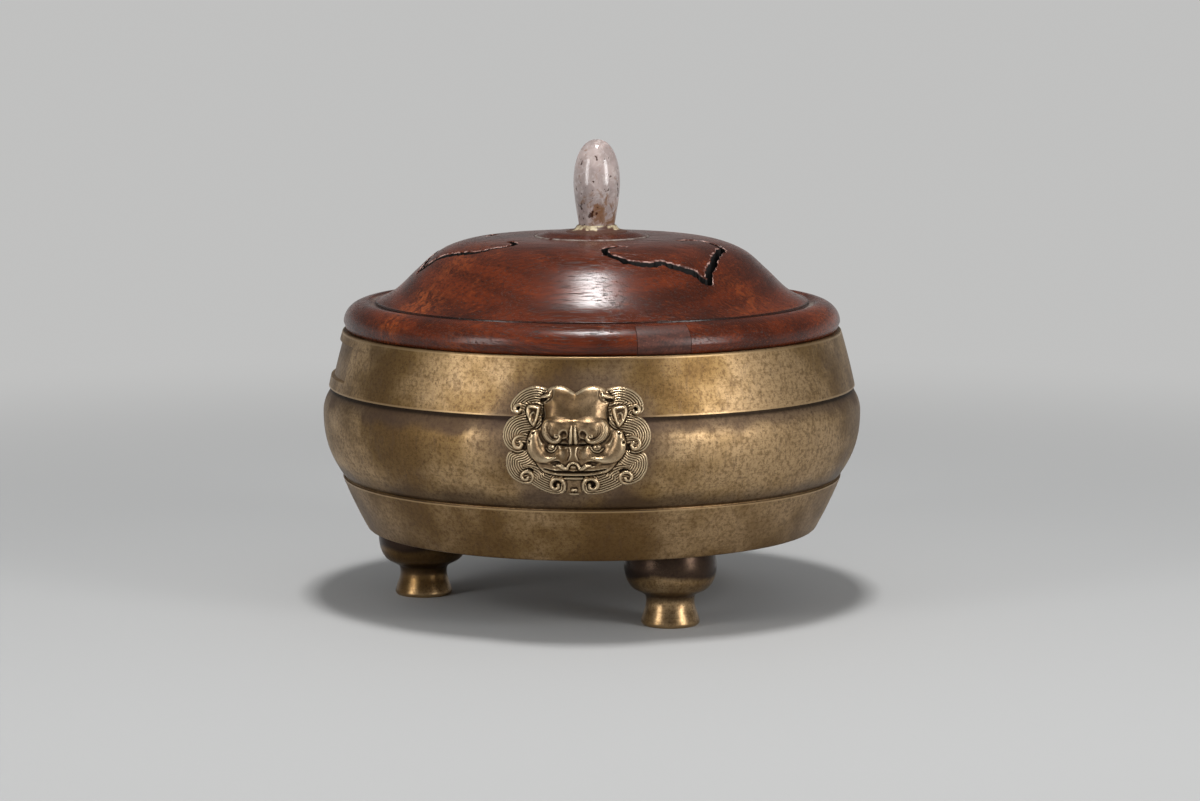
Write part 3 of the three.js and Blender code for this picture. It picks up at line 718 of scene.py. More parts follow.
def make_mask(name, azimuth):
    """Relief mesh bent round the wall, with a back that lies in the bronze behind it."""
    columns = round(2 * MASK_HALF_WIDE / MASK_GRID)
    rows = round((MASK_ABOVE + MASK_BELOW) / MASK_GRID)
    u, v = np.meshgrid(np.linspace(-MASK_HALF_WIDE, MASK_HALF_WIDE, columns + 1),
                       np.linspace(-MASK_BELOW, MASK_ABOVE, rows + 1))
    form = mask_relief(u, v)
    relief = form.height
    inside = form.inside
    wide = blurred(relief, 0.9 / MASK_GRID)
    fine = blurred(relief, 0.25 / MASK_GRID)
    # Patina and painted shade in the hollows of the relief.
    shade = 0.6 * np.clip((wide - relief) / 1.0, 0, 1) + 0.8 * np.clip((fine - relief) / 0.18, 0, 1)
    # Wear and painted highlight on the high points of the relief.
    rubbed_and_highlit = 0.6 * np.clip((relief - wide) / 0.8, 0, 1) + 0.9 * np.clip((relief - fine) / 0.13, 0, 1)

    keep = inside > 0
    cells = keep[:-1, :-1] & keep[1:, :-1] & keep[:-1, 1:] & keep[1:, 1:]
    used = np.zeros(keep.shape, bool)
    for corner in (used[:-1, :-1], used[1:, :-1], used[:-1, 1:], used[1:, 1:]):
        corner |= cells
    padded = np.pad(cells, 1)
    ring = used & ~(padded[1:, 1:] & padded[:-1, 1:] & padded[1:, :-1] & padded[:-1, :-1])
    slope_v, slope_u = np.gradient(inside, MASK_GRID)
    steep = slope_u ** 2 + slope_v ** 2 + 1e-6
    shift = np.clip(inside, 0, MASK_GRID)
    u = np.where(ring, u - shift * slope_u / steep, u)
    v = np.where(ring, v - shift * slope_v / steep, v)

    number = np.full(used.shape, -1)
    number[used] = np.arange(used.sum())
    count = int(used.sum())
    across, up, rise = u[used], v[used], relief[used]
    height = MASK_HEIGHT + up
    bed = mask_bed(height)
    turn = azimuth + across / BELLY_RADIUS
    limit = mask_high.x - MASK_CLEAR - bed
    front = bed + rise * np.minimum(1, limit / MASK_TALLEST)
    back = wall_at(height) - MASK_BURIED
    points = [np.stack([r * np.sin(turn), -r * np.cos(turn), height], axis=1) for r in (front, back)]
    a, b = number[:-1, :-1][cells], number[:-1, 1:][cells]
    c, d = number[1:, 1:][cells], number[1:, :-1][cells]
    quads = np.stack([a, b, c, d], axis=1)
    sides = set()
    for one, two in ((0, 1), (1, 2), (2, 3), (3, 0)):
        sides.update(zip(quads[:, one].tolist(), quads[:, two].tolist()))
    rim = [(one, two) for one, two in sorted(sides) if (two, one) not in sides]
    skirt = [[two, one, one + count, two + count] for one, two in rim]
    faces = quads.tolist() + (quads[:, ::-1] + count).tolist() + skirt
    piece = piece_from(name, np.concatenate(points), faces, crease=60)
    store(piece.data, "hollow", np.tile(shade[used], 2))
    store(piece.data, "rubbed_and_highlit", np.tile(rubbed_and_highlit[used], 2))
    return piece


# The lid and what stands on it

def dome_line():
    return curved([
        (DOME_FOOT_RADIUS - 1.0, DOME_LIP), (56, MOUTH + 11.3), (50, MOUTH + 17), (44.1, MOUTH + 22),
        (36.4, MOUTH + 25), (27, MOUTH + 26.15), (SEAT_RADIUS + 0.5, LID_TOP),
    ], 12)


def lid_outline():
    bead = [
        (between(BEAD_TOP_RADIUS, BEAD_RADIUS, math.cos(t)), between(BEAD_HEIGHT, BEAD_TOP, math.sin(t)))
        for t in steps(0, math.pi / 2, 24)
    ]
    dome = dome_line()
    hollow_line = []
    for before, point, after in zip(dome[::8], dome[4::8], dome[8::8]):
        way = np.array(after) - np.array(before)
        way /= np.linalg.norm(way)
        hollow_line.append((point[0] - way[1] * DOME_THICKNESS, point[1] + way[0] * DOME_THICKNESS))
    hollow_line = [(r, min(z, LID_TOP - DOME_THICKNESS)) for r, z in hollow_line if r < FLANGE_INSIDE - 1]
    return eased([
        (0, LID_TOP - DOME_THICKNESS),
        *reversed(hollow_line),
        (FLANGE_INSIDE, MOUTH + 3, 1.0),
        (FLANGE_INSIDE, FLANGE_FOOT, 0.5),
        (FLANGE_RADIUS, FLANGE_FOOT, 0.5),
        (FLANGE_RADIUS, MOUTH + 0.05, 0.2),
        (BEAD_RADIUS - 0.9, MOUTH + 0.05, 0.5),
        *bead,
        (BEAD_TOP_RADIUS - 1.3, GROOVE_FLOOR + 0.1, 0.4),
        (DOME_FOOT_RADIUS, GROOVE_FLOOR, 0.2),
        (DOME_FOOT_RADIUS - 0.1, DOME_LIP, 0.25),
        *dome,
        (SEAT_RADIUS + 0.12, LID_TOP - 0.15, 0.12),
        (SEAT_RADIUS + 0.12, SEAT_FLOOR),
        (0, SEAT_FLOOR),
    ])


def slit_path(index):
    """Middle line of a saw cut round a leaf, wandering as a hand saw does, in millimetres from above."""
    path = []
    for stroke in LEAF:
        points = [around(math.radians(turn), radius, 0)[:2] for radius, turn in stroke]
        path += curved(points, 7)[1 if path else 0:]
    path = np.array(path)
    chance = np.random.default_rng(40 + index)
    count = len(path)
    wander = SLIT_WANDER * np.convolve(chance.normal(0, 1, count + 4), np.ones(5) / 5, "valid")
    way = np.gradient(path, axis=0)
    way /= np.linalg.norm(way, axis=1)[:, None]
    aside = np.stack([-way[:, 1], way[:, 0]], axis=1)
    chips = []
    for _ in range(2):
        rough = np.convolve(chance.normal(0, 1, count + 1), np.ones(2) / 2, "valid")
        chips.append(SLIT_CHIPS * np.abs(rough))
    turn = SLIT_AZIMUTH + FULL_TURN * index / SLIT_COUNT
    spin = np.array([[math.cos(turn), math.sin(turn)], [-math.sin(turn), math.cos(turn)]])
    return (path + aside * wander[:, None]) @ spin, aside @ spin, chips


def dome_height(radius):
    line = np.array(dome_line())[::-1]
    return np.interp(radius, line[:, 0], line[:, 1])


def slit_cutter(index):
    """Saw cut as a band that stands upright and opens into a chipped bevel at the surface of the dome."""
    middle, aside, chips = slit_path(index)
    count = len(middle)
    above = 0.25
    points = []
    for depth, wider in ((None, 0.0), (SLIT_BEVEL, 0.0), (-above, SLIT_BEVEL + above)):
        sides = []
        for sign, chip in zip((1, -1), chips):
            line = middle + sign * aside * (SLIT_WIDTH / 2 + chip + wider)[:, None]
            surface = dome_height(np.hypot(*line.T))
            heights = np.full(count, SLIT_FLOOR) if depth is None else surface - depth
            sides.append(np.column_stack([line, heights]))
        points.append(np.concatenate([sides[0], sides[1][::-1]]))
    total = 2 * count
    faces = ring_faces(0, total) + ring_faces(total, total)
    top = 2 * total
    for i in range(count - 1):
        a, b, c, d = i, i + 1, total - 2 - i, total - 1 - i
        faces.append([a, b, c, d])
        faces.append([a + top, d + top, c + top, b + top])
    return piece_from("slit_cutter", np.concatenate(points), faces)


def mark_slits(piece):
    """Stores which faces of the lid are the splintered bevels of the saw cuts, and which are their walls."""
    mesh = piece.data
    centres = read(mesh.polygons, "center") / MM
    normals = read(mesh.polygons, "normal")
    radius = np.hypot(centres[:, 0], centres[:, 1])
    depth = dome_height(radius) - centres[:, 2]
    near = (radius > SLIT_NEAREST) & (radius < SLIT_FARTHEST) & (centres[:, 2] > MOUTH + 6)
    middle = np.concatenate([slit_path(i)[0] for i in range(SLIT_COUNT)])
    away = np.full(len(centres), 99.0)
    for part in np.array_split(np.flatnonzero(near), 40):
        gaps = centres[part, None, :2] - middle[None, :, :]
        away[part] = np.sqrt((gaps ** 2).sum(axis=2).min(axis=1))
    beside = away < SLIT_WIDTH / 2 + SLIT_BESIDE
    slope = (dome_height(radius + 0.2) - dome_height(radius - 0.2)) / 0.4
    outward = (normals[:, :2] * centres[:, :2]).sum(axis=1) / np.maximum(radius, 1)
    upright = normals[:, 2] - slope * outward
    tilt = upright / np.sqrt(1 + slope ** 2)
    walls = beside & (np.abs(normals[:, 2]) < 0.2) & (depth > 0.5 * SLIT_BEVEL)
    bevels = beside & ~walls & (tilt < 0.93) & (depth < SLIT_BEVEL) & (normals[:, 2] > 0)
    store(mesh, "splintered", bevels, "FACE")
    store(mesh, "inside", walls, "FACE")


def patch_block(name, joint):
    """Block bent round the axis at the place of the rim patch, larger than it by the joint round it."""
    half = PATCH_HALF + joint / BEAD_RADIUS
    turns = steps(PATCH_AZIMUTH - half, PATCH_AZIMUTH + half, 24)
    inner, outer = BEAD_RADIUS - PATCH_DEPTH - joint, BEAD_RADIUS + 2
    low, high = MOUTH - 1, BEAD_TOP + 1
    section = ((inner, low), (outer, low), (outer, high), (inner, high))
    points = [around(turn, radius, height) for turn in turns for radius, height in section]
    faces = [[0, 1, 2, 3], [len(points) - 1, len(points) - 2, len(points) - 3, len(points) - 4]]
    for i in range(len(turns) - 1):
        faces += ring_faces(4 * i, 4)
    return piece_from(name, points, faces)


def peg(name, low, high):
    """Cutter for a stretch of the pin's hole."""
    radius = PIN_RADIUS + PIN_CLEARANCE
    return turned(name, [(0, low), (radius, low), (radius, high), (0, high)], 48, KNOB_PLACE)


def make_lid():
    blank = turned("wooden_lid", lid_outline(), sides=420, crease=35)
    slits = [slit_cutter(i) for i in range(SLIT_COUNT)]
    pocket = patch_block("pocket", PATCH_JOINT)
    hole = peg("hole", pin_low.z - 0.1, LID_TOP + 1)
    lid = cut(blank, *slits, pocket, hole, crease=35)
    mark_slits(lid)
    return lid


def make_patch():
    blank = turned("rim_block", lid_outline(), sides=420, crease=35)
    return cut(blank, patch_block("block", 0.0), operation="INTERSECT", crease=35)


def make_seat():
    disc = turned("knob_disc", eased([
        (0, SEAT_FLOOR), (SEAT_RADIUS, SEAT_FLOOR, 0.2), (SEAT_RADIUS, LID_TOP + 0.15, 0.2),
        *curved([(15.6, LID_TOP + 0.3), (14.2, LID_TOP + 0.65), (12.4, LID_TOP + 1.15), (10.6, SEAT_TOP)], 6),
        (0, SEAT_TOP),
    ]), sides=240)
    return cut(disc, peg("hole", SEAT_FLOOR - 1, SEAT_TOP + 1))


def knob_radius_at(height):
    """Radius of the stone: a slow taper below its waist and a round crown above."""
    if height <= KNOB_WAIST:
        drop = (KNOB_WAIST - height) / (KNOB_WAIST - KNOB_FOOT)
        return KNOB_RADIUS - (KNOB_RADIUS - KNOB_FOOT_RADIUS) * drop ** KNOB_TAPER
    rise = (height - KNOB_WAIST) / (KNOB_TOP - KNOB_WAIST)
    return KNOB_RADIUS * max(1 - rise ** KNOB_CROWN, 0) ** (1 / KNOB_CROWN)


def make_bedding():
    """Collar of resin that creeps up the foot of the stone and thins out over the disc."""
    top = SEAT_TOP + COLLAR_HEIGHT
    lip = knob_radius_at(top)
    creep = [(8.6, 0.2), (7.4, 0.42), (6.3, 0.85), (5.7, 1.7)]
    return turned("resin_collar", [
        (0, SEAT_TOP + 0.02), (COLLAR_RADIUS, SEAT_TOP + 0.02),
        *curved([(radius, SEAT_TOP + rise) for radius, rise in creep], 6),
        (lip + 0.12, top + 0.05), (lip + 0.02, top - 0.05),
        (KNOB_FOOT_RADIUS + 0.05, KNOB_FOOT - 0.02), (0, KNOB_FOOT - 0.02),
    ], 96, KNOB_PLACE, crease=60)


def make_knob():
    body = swept(knob_radius_at, KNOB_FOOT, KNOB_WAIST, 24)
    levels = [between(KNOB_WAIST, KNOB_TOP, math.sin(t)) for t in steps(0, math.pi / 2, 28)[1:-1]]
    crown = [(knob_radius_at(z), z) for z in levels]
    bore = PIN_RADIUS + PIN_CLEARANCE
    outline = eased([
        (0, pin_high.z + 0.3), (bore, pin_high.z + 0.3, 0.2), (bore, KNOB_FOOT, 0.1),
        (body[0][0], KNOB_FOOT, 0.3), *body[1:], *crown, (0, KNOB_TOP),
    ])
    return turned("quartz_knob", outline, 128, KNOB_PLACE, crease=50)


def make_pin():
    end = 0.4
    return turned("wooden_pin", [
        (0, pin_low.z), (PIN_RADIUS - end, pin_low.z), (PIN_RADIUS, pin_low.z + end),
        (PIN_RADIUS, pin_high.z - end), (PIN_RADIUS - end, pin_high.z), (0, pin_high.z),
    ], 48, KNOB_PLACE, crease=30)


# Materials

class Wire:
    """A value on its way through a node tree. Sums, products and quotients of wires add their Math nodes."""

    def __init__(self, tree, socket):
        self.tree = tree
        self.socket = socket

    def math(self, operation, *values):
        return self.tree.node("ShaderNodeMath", {"operation": operation}, dict(enumerate(values)))

    def __add__(self, other):
        return self.math("ADD", self, other)

    __radd__ = __add__

    def __sub__(self, other):
        return self.math("SUBTRACT", self, other)

    def __mul__(self, other):
        return self.math("MULTIPLY", self, other)

    def __truediv__(self, other):
        return self.math("DIVIDE", self, other)

    def __abs__(self):
        return self.math("ABSOLUTE", self)

    def root(self):
        return self.math("SQRT", self)

    def most(self, other):
        return self.math("MAXIMUM", self, other)

    def rise(self, start, end, low=0.0, high=1.0):
        """low before start, high after end, smooth between."""
        settings = {"interpolation_type": "SMOOTHSTEP"}
        return self.tree.node("ShaderNodeMapRange", settings, {0: self, 1: start, 2: end, 3: low, 4: high})

    def fall(self, start, end):
        """1 before start, 0 after end, smooth between."""
        return self.rise(start, end, 1.0, 0.0)


class Tree:
    """The node tree of a material or a world, in the making."""

    def __init__(self, owner, space):
        owner.use_nodes = True
        self.nodes = owner.node_tree.nodes
        self.links = owner.node_tree.links
        self.nodes.clear()
        self.place = self.node("ShaderNodeTexCoord", {}, {}, space)
        split = self.node("ShaderNodeSeparateXYZ", {}, {0: self.place}).socket.node
        self.x, self.y, self.z = (Wire(self, socket) for socket in split.outputs)

    def node(self, kind, settings, inputs, output=0):
        """Any node: its type, its settings, then the values or wires of its sockets."""
        made = self.nodes.new(kind)
        for name, value in settings.items():
            setattr(made, name, value)
        for key, value in inputs.items():
            self.feed(made.inputs[key], value)
        return Wire(self, made.outputs[output])

    def feed(self, socket, value):
        if isinstance(value, Wire):
            self.links.new(value.socket, socket)
        elif isinstance(value, tuple) and len(value) == 3 and socket.type == "RGBA":
            socket.default_value = (*value, 1)
        else:
            socket.default_value = value

    def mix(self, share, first, second):
        """Colour between two colours."""
        return self.node("ShaderNodeMix", {"data_type": "RGBA"}, {0: share, 6: first, 7: second}, 2)

    def seen_directly(self):
        """1 for what the camera, a mirror or glass sees, 0 for light that only falls on things."""
        seen = self.node("ShaderNodeLightPath", {}, {}, "Is Camera Ray")
        rays = seen.socket.node.outputs
        for kind in ("Is Glossy Ray", "Is Transmission Ray"):
            seen = seen.most(Wire(self, rays[kind]))
        return seen

    def show(self, output, shader):
        self.feed(self.nodes.new(output).inputs[0], shader)


class Finish(Tree):
    """A material in the making, with its colour and its roughness so far."""

    def __init__(self, name, colour=None, rough=0.5):
        self.material = bpy.data.materials.new(name)
        super().__init__(self.material, "Object")
        self.colour = colour
        self.rough = rough

    def stain(self, share, colour):
        """Moves the colour towards another by a share."""
        self.colour = self.mix(share, self.colour, colour)

    def noise(self, scale, detail=3, rough=0.6, place=None, warp=0.0):
        inputs = {"Vector": place or self.place, "Scale": scale, "Detail": detail, "Roughness": rough}
        return self.node("ShaderNodeTexNoise", {}, {**inputs, "Distortion": warp})

    def vector(self, x, y, z):
        return self.node("ShaderNodeCombineXYZ", {}, {0: x, 1: y, 2: z})

    def streaks(self, x, y, z, warp=0.0):
        """Noise that is drawn out, with a scale of its own along each axis."""
        return self.noise(1.0, 3, 0.6, self.vector(self.x * x, self.y * y, self.z * z), warp)

    def out_from(self, y=0.0):
        """Distance from the upright line at x 0 and this y, in millimetres."""
        beside = self.y - y * MM
        return (self.x * self.x + beside * beside).root() / MM

    def mark(self, name):
        """Value stored on the mesh."""
        return self.node("ShaderNodeAttribute", {"attribute_name": name}, {}, "Fac")

    def bump(self, height, distance, strength):
        return self.node("ShaderNodeBump", {}, {"Height": height, "Distance": distance, "Strength": strength})

    def shader(self, **values):
        """Principled shader; an underscore stands for a space in a socket's name."""
        values = {"Base_Color": self.colour, "Roughness": self.rough, **values}
        inputs = {name.replace("_", " "): value for name, value in values.items()}
        return self.node("ShaderNodeBsdfPrincipled", {}, inputs)

    def done(self, **values):
        """The material, with a shader of the colour, the roughness and what else is given."""
        self.show("ShaderNodeOutputMaterial", self.shader(**values))
        return self.material


def linear(value):
    """Linear light of one 0 to 255 value of a screen."""
    return ((value / 255 + 0.055) / 1.055) ** 2.4 if value > 10 else value / 255 / 12.92


def rgb(red, green, blue):
    return linear(red), linear(green), linear(blue)


GOLDEN = rgb(180, 151, 112)
OLIVE = rgb(143, 114, 69)
BROWN = rgb(88, 63, 35)
PURPLE_BROWN = rgb(84, 68, 60)
PALE_BRONZE = rgb(222, 200, 164)
UMBER = rgb(58, 43, 31)
BLACKISH_BROWN = rgb(34, 27, 21)
FOOT_SHADOW = rgb(40, 28, 25)


def bronze(name, wear):
    """Old bronze of a dull golden brown: soft clouds, brown blotches, fine dark grain and turning marks."""
    finish = Finish(name)
    clouds = finish.noise(30, 3, 0.55)
    blotches = finish.noise(70, 2, 0.45, warp=0.2)
    grain = finish.noise(900, 3, 0.62)
    speck = finish.noise(2300, 2)
    turning = finish.streaks(90, 90, 2600)
    brushed = finish.streaks(700, 700, 150)
    age = clouds * 0.6 + blotches * 0.4
    finish.colour = finish.mix(age.rise(0.40, 0.60), GOLDEN, OLIVE)
    finish.stain(clouds.rise(0.46, 0.66) * 0.6, BROWN)
    finish.stain(blotches.rise(0.44, 0.80) * 0.45, BROWN)
    finish.stain(grain.rise(0.40, 0.70) * 0.62, BROWN)
    finish.stain(brushed.rise(0.52, 0.68) * 0.22, PURPLE_BROWN)
    finish.stain(turning.rise(0.52, 0.70) * 0.28, BROWN)
    finish.stain(speck.rise(0.57, 0.68) * 0.55, UMBER)
    finish.rough = 0.33 + blotches * 0.12 + grain * 0.14
    relief = turning * 0.2 + brushed * 0.15 - speck.rise(0.62, 0.76) * 0.7 + grain * 0.35
    wear(finish, blotches)
    return finish.done(Metallic=0.88, Normal=finish.bump(relief, 0.00005, 0.6))


def vessel_wear(finish, blotches):
    """Painted shade in the creases and, with dust, under the upper ledge; the lower band a little darker as
    painted shade; worn band edges with a painted highlight; and a painted shadow mixed with patina round each
    mask.
    """
    level = finish.z / MM
    uneven = level + (blotches - 0.5) * 12
    # Band under the upper ledge, fading downwards: dust with painted shade.
    dust_and_shade_under_ledge = uneven.rise(MIDDLE_TOP - 4.6, MIDDLE_TOP - 0.9) * level.fall(UPPER_FOOT - 0.3, UPPER_FOOT)
    # Near black in the crease under the upper band: painted shade.
    crease = level.rise(MIDDLE_TOP - 0.1, MIDDLE_TOP + 0.7) * level.fall(UPPER_FOOT - 0.1, UPPER_FOOT)
    # Dark brown over the lower ledge, fading upwards: painted shade in the crease.
    shade_over_lower_ledge = level.rise(LOWER_TOP, LOWER_TOP + 0.4) * uneven.fall(MIDDLE_FOOT + 0.4, MIDDLE_FOOT + 5.5)
    finish.stain(dust_and_shade_under_ledge * 0.65, PURPLE_BROWN)
    finish.stain(crease * 0.8, BLACKISH_BROWN)
    finish.stain(shade_over_lower_ledge * 0.7, UMBER)
    # The lower band a little browner: painted shade, as where a dark floor is reflected.
    finish.stain(level.fall(LOWER_TOP - 0.6, LOWER_TOP - 0.1) * 0.28, BROWN)
    # Bright band edges: wear with a painted highlight, golden and a little glossier.
    for edge in (UPPER_FOOT + 0.25, LOWER_TOP - 0.2, MOUTH - 0.4):
        rubbed_edge_and_highlight = abs(level - edge).fall(0.12, 0.42)
        finish.stain(rubbed_edge_and_highlight * 0.6, GOLDEN)
        finish.rough = finish.rough - rubbed_edge_and_highlight * 0.08
    # Purple brown round each mask: painted shadow mixed with patina, uneven with the blotches.
    beside = finish.y / (HALO_HALF_WIDE * MM)
    above = (level - MASK_HEIGHT) / HALO_HALF_HIGH
    mask_shadow_and_patina = (beside * beside + above * above).root() + (blotches - 0.5) * 0.7
    mask_shadow_and_patina = mask_shadow_and_patina.fall(0.78, 1.2) * abs(finish.x).rise(0.04, 0.06)
    inner = finish.mark("inner")
    finish.stain(mask_shadow_and_patina * 0.66, PURPLE_BROWN)
    finish.stain(finish.mark("sunk") * 0.4, BROWN)
    finish.stain(inner * 0.8, BLACKISH_BROWN)
    finish.rough = finish.rough + dust_and_shade_under_ledge * 0.12 + mask_shadow_and_patina * 0.1 + inner * 0.25


def mask_wear(finish, blotches):
    """High points worn to pale bronze with a painted highlight; recesses left dark brown with patina and
    painted shade.
    """
    patina_and_shade = finish.mark("hollow")
    rubbed_and_highlit = finish.mark("rubbed_and_highlit")
    finish.stain(0.36, PURPLE_BROWN)
    # Umber and near black in the hollows: patina with painted shade.
    finish.stain(patina_and_shade.rise(0.05, 0.8) * 0.85, UMBER)
    finish.stain(patina_and_shade.rise(0.8, 1.35) * 0.55, BLACKISH_BROWN)
    # Pale bronze on the high points: wear with a painted highlight.
    finish.stain(rubbed_and_highlit.rise(0.2, 1.0) * 0.66, PALE_BRONZE)
    finish.rough = finish.rough - 0.07 + patina_and_shade.rise(0, 1.2) * 0.24 - rubbed_and_highlit.rise(0, 1) * 0.04


def foot_wear(finish, blotches):
    """Feet darkened at the top of the bulb and in the neck, and bright at the edge they stand on."""
    level = finish.z / MM
    uneven = level + (blotches - 0.5) * 5
    finish.stain(0.2, BROWN)
    finish.stain(uneven.rise(13.6, 15.4) * 0.92, FOOT_SHADOW)
    finish.stain(abs(uneven - FOOT_NECK).fall(0.4, 2.8) * 0.65, UMBER)
    finish.stain(level.fall(0.5, 1.3) * 0.6, GOLDEN)
    finish.rough = finish.rough - 0.16


RED_WOOD = rgb(93, 38, 17)
BROWN_WOOD = rgb(66, 27, 13)
ORANGE_WOOD = rgb(142, 69, 31)
DARK_WOOD = rgb(40, 16, 9)
BLACK_WOOD = rgb(9, 5, 3)
CUT_WOOD_AND_HIGHLIGHT = rgb(166, 134, 124)
GREY_DUST = rgb(148, 142, 134)
CREAM_DUST = rgb(120, 100, 74)


def rosewood(name, dark, wear):
    """Oiled rosewood, its fibres along Y: faint growth bands, fine dark fibres, and curly orange figure that
    shows only on the two sides lit by the side lamps, partly painted light.
    """
    finish = Finish(name)
    bend = finish.noise(15, 2, 0.5)
    lift = (finish.z + 0.07) * 1.15
    depth = (finish.x * finish.x + lift * lift).root() + (bend - 0.5) * 0.018 + finish.y * 0.02
    bands = finish.noise(1.0, 3, 0.6, finish.vector(depth * 300, finish.y * 6.0, 0.0))
    fibres = finish.noise(1.0, 4, 0.66, finish.vector(finish.x * 1500, finish.y * 55, depth * 1500))
    threads = finish.noise(1.0, 3, 0.6, finish.vector(finish.x * 3000, finish.y * 130, depth * 3000))
    curly = finish.streaks(260, 420, 260, warp=1.2)
    patches = finish.noise(26, 3, 0.55)
    # Orange curly figure kept to the two sides that the side lamps face: partly painted light.
    figure_and_side_light = patches.rise(0.46, 0.60) * abs(finish.y).rise(0.018, 0.045)
    finish.colour = finish.mix(bands.rise(0.36, 0.64) * 0.8, RED_WOOD, BROWN_WOOD)
    finish.stain(figure_and_side_light * curly.rise(0.38, 0.62) * 0.8, ORANGE_WOOD)
    finish.stain(patches.fall(0.36, 0.48) * 0.55, DARK_WOOD)
    finish.stain(fibres.rise(0.44, 0.66) * 0.62, DARK_WOOD)
    finish.stain(fibres.fall(0.30, 0.42) * 0.4, ORANGE_WOOD)
    finish.stain(threads.rise(0.57, 0.66) * 0.75, BLACK_WOOD)
    finish.stain(dark, DARK_WOOD)
    finish.rough = 0.19 + fibres * 0.12 + threads.rise(0.56, 0.68) * 0.2
    wear(finish)
    normal = finish.bump(fibres * 0.7 - threads.rise(0.54, 0.7), 0.00006, 0.6)
    return finish.done(Normal=normal, Specular_IOR_Level=0.32)


def lid_wear(finish):
    """Grey dust in the groove, a black line of painted shade at the foot of the dome, pale splinters with a
    painted highlight at the edges of the saw cuts, and painted shade, black, inside them.
    """
    out = finish.out_from()
    dusty = finish.noise(220)
    patchy = finish.noise(48)
    dust = abs(out - DUST_RADIUS).fall(0.4, 1.1) * dusty.rise(0.3, 0.55) * patchy.rise(0.36, 0.58)
    splinters = finish.noise(520, 4, 0.7)
    edge = finish.mark("splintered")
    inside = finish.mark("inside")
    finish.stain(dust * 0.5, GREY_DUST)
    # Black line at the foot of the dome: painted shade under its lip.
    finish.stain(abs(out - DOME_FOOT_RADIUS).fall(0.1, 0.4) * 0.8, BLACK_WOOD)
    # Pale edges of the saw cuts: fresh-cut wood with a painted highlight.
    finish.stain(edge * splinters.rise(0.46, 0.56) * 0.85, CUT_WOOD_AND_HIGHLIGHT)
    # Black inside the saw cuts: painted shade.
    finish.stain(inside, BLACK_WOOD)
    finish.rough = finish.rough + dust * 0.4 + edge * 0.2 + inside * 0.6


def seat_wear(finish):
    """Grey dust at the edge of the disc, cream dust near the stone."""
    dusty = finish.noise(400)
    edge = finish.out_from().rise(SEAT_RADIUS - 0.7, SEAT_RADIUS - 0.2) * dusty.rise(0.36, 0.6)
    near = finish.out_from(KNOB_PLACE[1]).fall(7.0, 10.0) * dusty.rise(0.3, 0.6)
    finish.stain(edge * 0.75, GREY_DUST)
    finish.stain(near * 0.4, CREAM_DUST)
    finish.rough = finish.rough + edge * 0.3


def end_grain(name):
    """Block of another cut: dark, finely speckled end grain."""
    finish = Finish(name)
    speck = finish.noise(1700)
    clumps = finish.streaks(500, 160, 700)
    finish.colour = finish.mix(clumps.rise(0.36, 0.64) * 0.6, rgb(82, 40, 27), DARK_WOOD)
    finish.stain(speck.rise(0.52, 0.66) * 0.6, BLACK_WOOD)
    finish.stain(speck.fall(0.30, 0.42) * 0.4, rgb(126, 78, 60))
    finish.rough = 0.4 + speck * 0.2
    normal = finish.bump(speck, 0.00006, 0.6)
    return finish.done(Normal=normal, Coat_Weight=0.12, Coat_Roughness=0.25, Specular_IOR_Level=0.35)


def resin(name):
    """Cream resin, dirty where it thins out."""
    finish = Finish(name)
    grime = finish.noise(700)
    lumps = finish.noise(230, 2, 0.5)
    out = finish.out_from(KNOB_PLACE[1]) + (grime - 0.5) * 2.0 + (lumps - 0.5) * 9.0
    finish.colour = finish.mix(grime.rise(0.4, 0.65), rgb(190, 175, 142), rgb(124, 102, 76))
    finish.stain(out.rise(5.8, 7.0), rgb(74, 44, 32))
    finish.rough = 0.35 + grime * 0.2
    return finish.done(Normal=finish.bump(grime, 0.0001, 0.6))


def quartz(name):
    """Milky quartz with a grey cloud, fine veils, and rusty inclusions towards its foot."""
    finish = Finish(name)
    cloud = finish.noise(150, 3, 0.55)
    veil = finish.noise(420, 4, 0.6, warp=1.4)
    rust = finish.noise(330, 4, 0.65, warp=0.9)
    flecks = finish.streaks(620, 620, 430)
    low = (finish.z / MM).fall(110, 121)
    side = (finish.y * 0.8 + finish.x * 0.6).rise(-0.002, 0.006)
    finish.colour = finish.mix(cloud.rise(0.35, 0.65), rgb(178, 162, 157), rgb(150, 136, 132))
    finish.stain(veil.rise(0.5, 0.62) * 0.35, rgb(205, 192, 187))
    finish.stain((rust + low * side * 0.19).rise(0.57, 0.74) * 0.8, rgb(122, 78, 34))
    finish.stain((flecks + low * 0.07).rise(0.66, 0.70) * 0.92, rgb(56, 29, 19))
    finish.rough = 0.12 + veil * 0.06
    return finish.done(Subsurface_Weight=0.3, Subsurface_Radius=(0.004, 0.0032, 0.003), Coat_Weight=0.2,
                       Coat_Roughness=0.05)


def plain_wood(name):
    finish = Finish(name)
    fibres = finish.streaks(1400, 1400, 120)
    finish.colour = finish.mix(fibres.rise(0.4, 0.65), rgb(120, 84, 52), rgb(86, 56, 34))
    finish.rough = 0.6 + fibres * 0.1
    return finish.done(Normal=finish.bump(fibres, 0.0001, 0.5))


def dress(piece, material, body, slot, *nodes):
    """Gives a piece its finish and its body, and hides the nodes of the frame that it stands for. The slot is
    not used.
    """
    piece.data.materials.clear()
    piece.data.materials.append(material)
    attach(piece, body)
    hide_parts(*nodes)


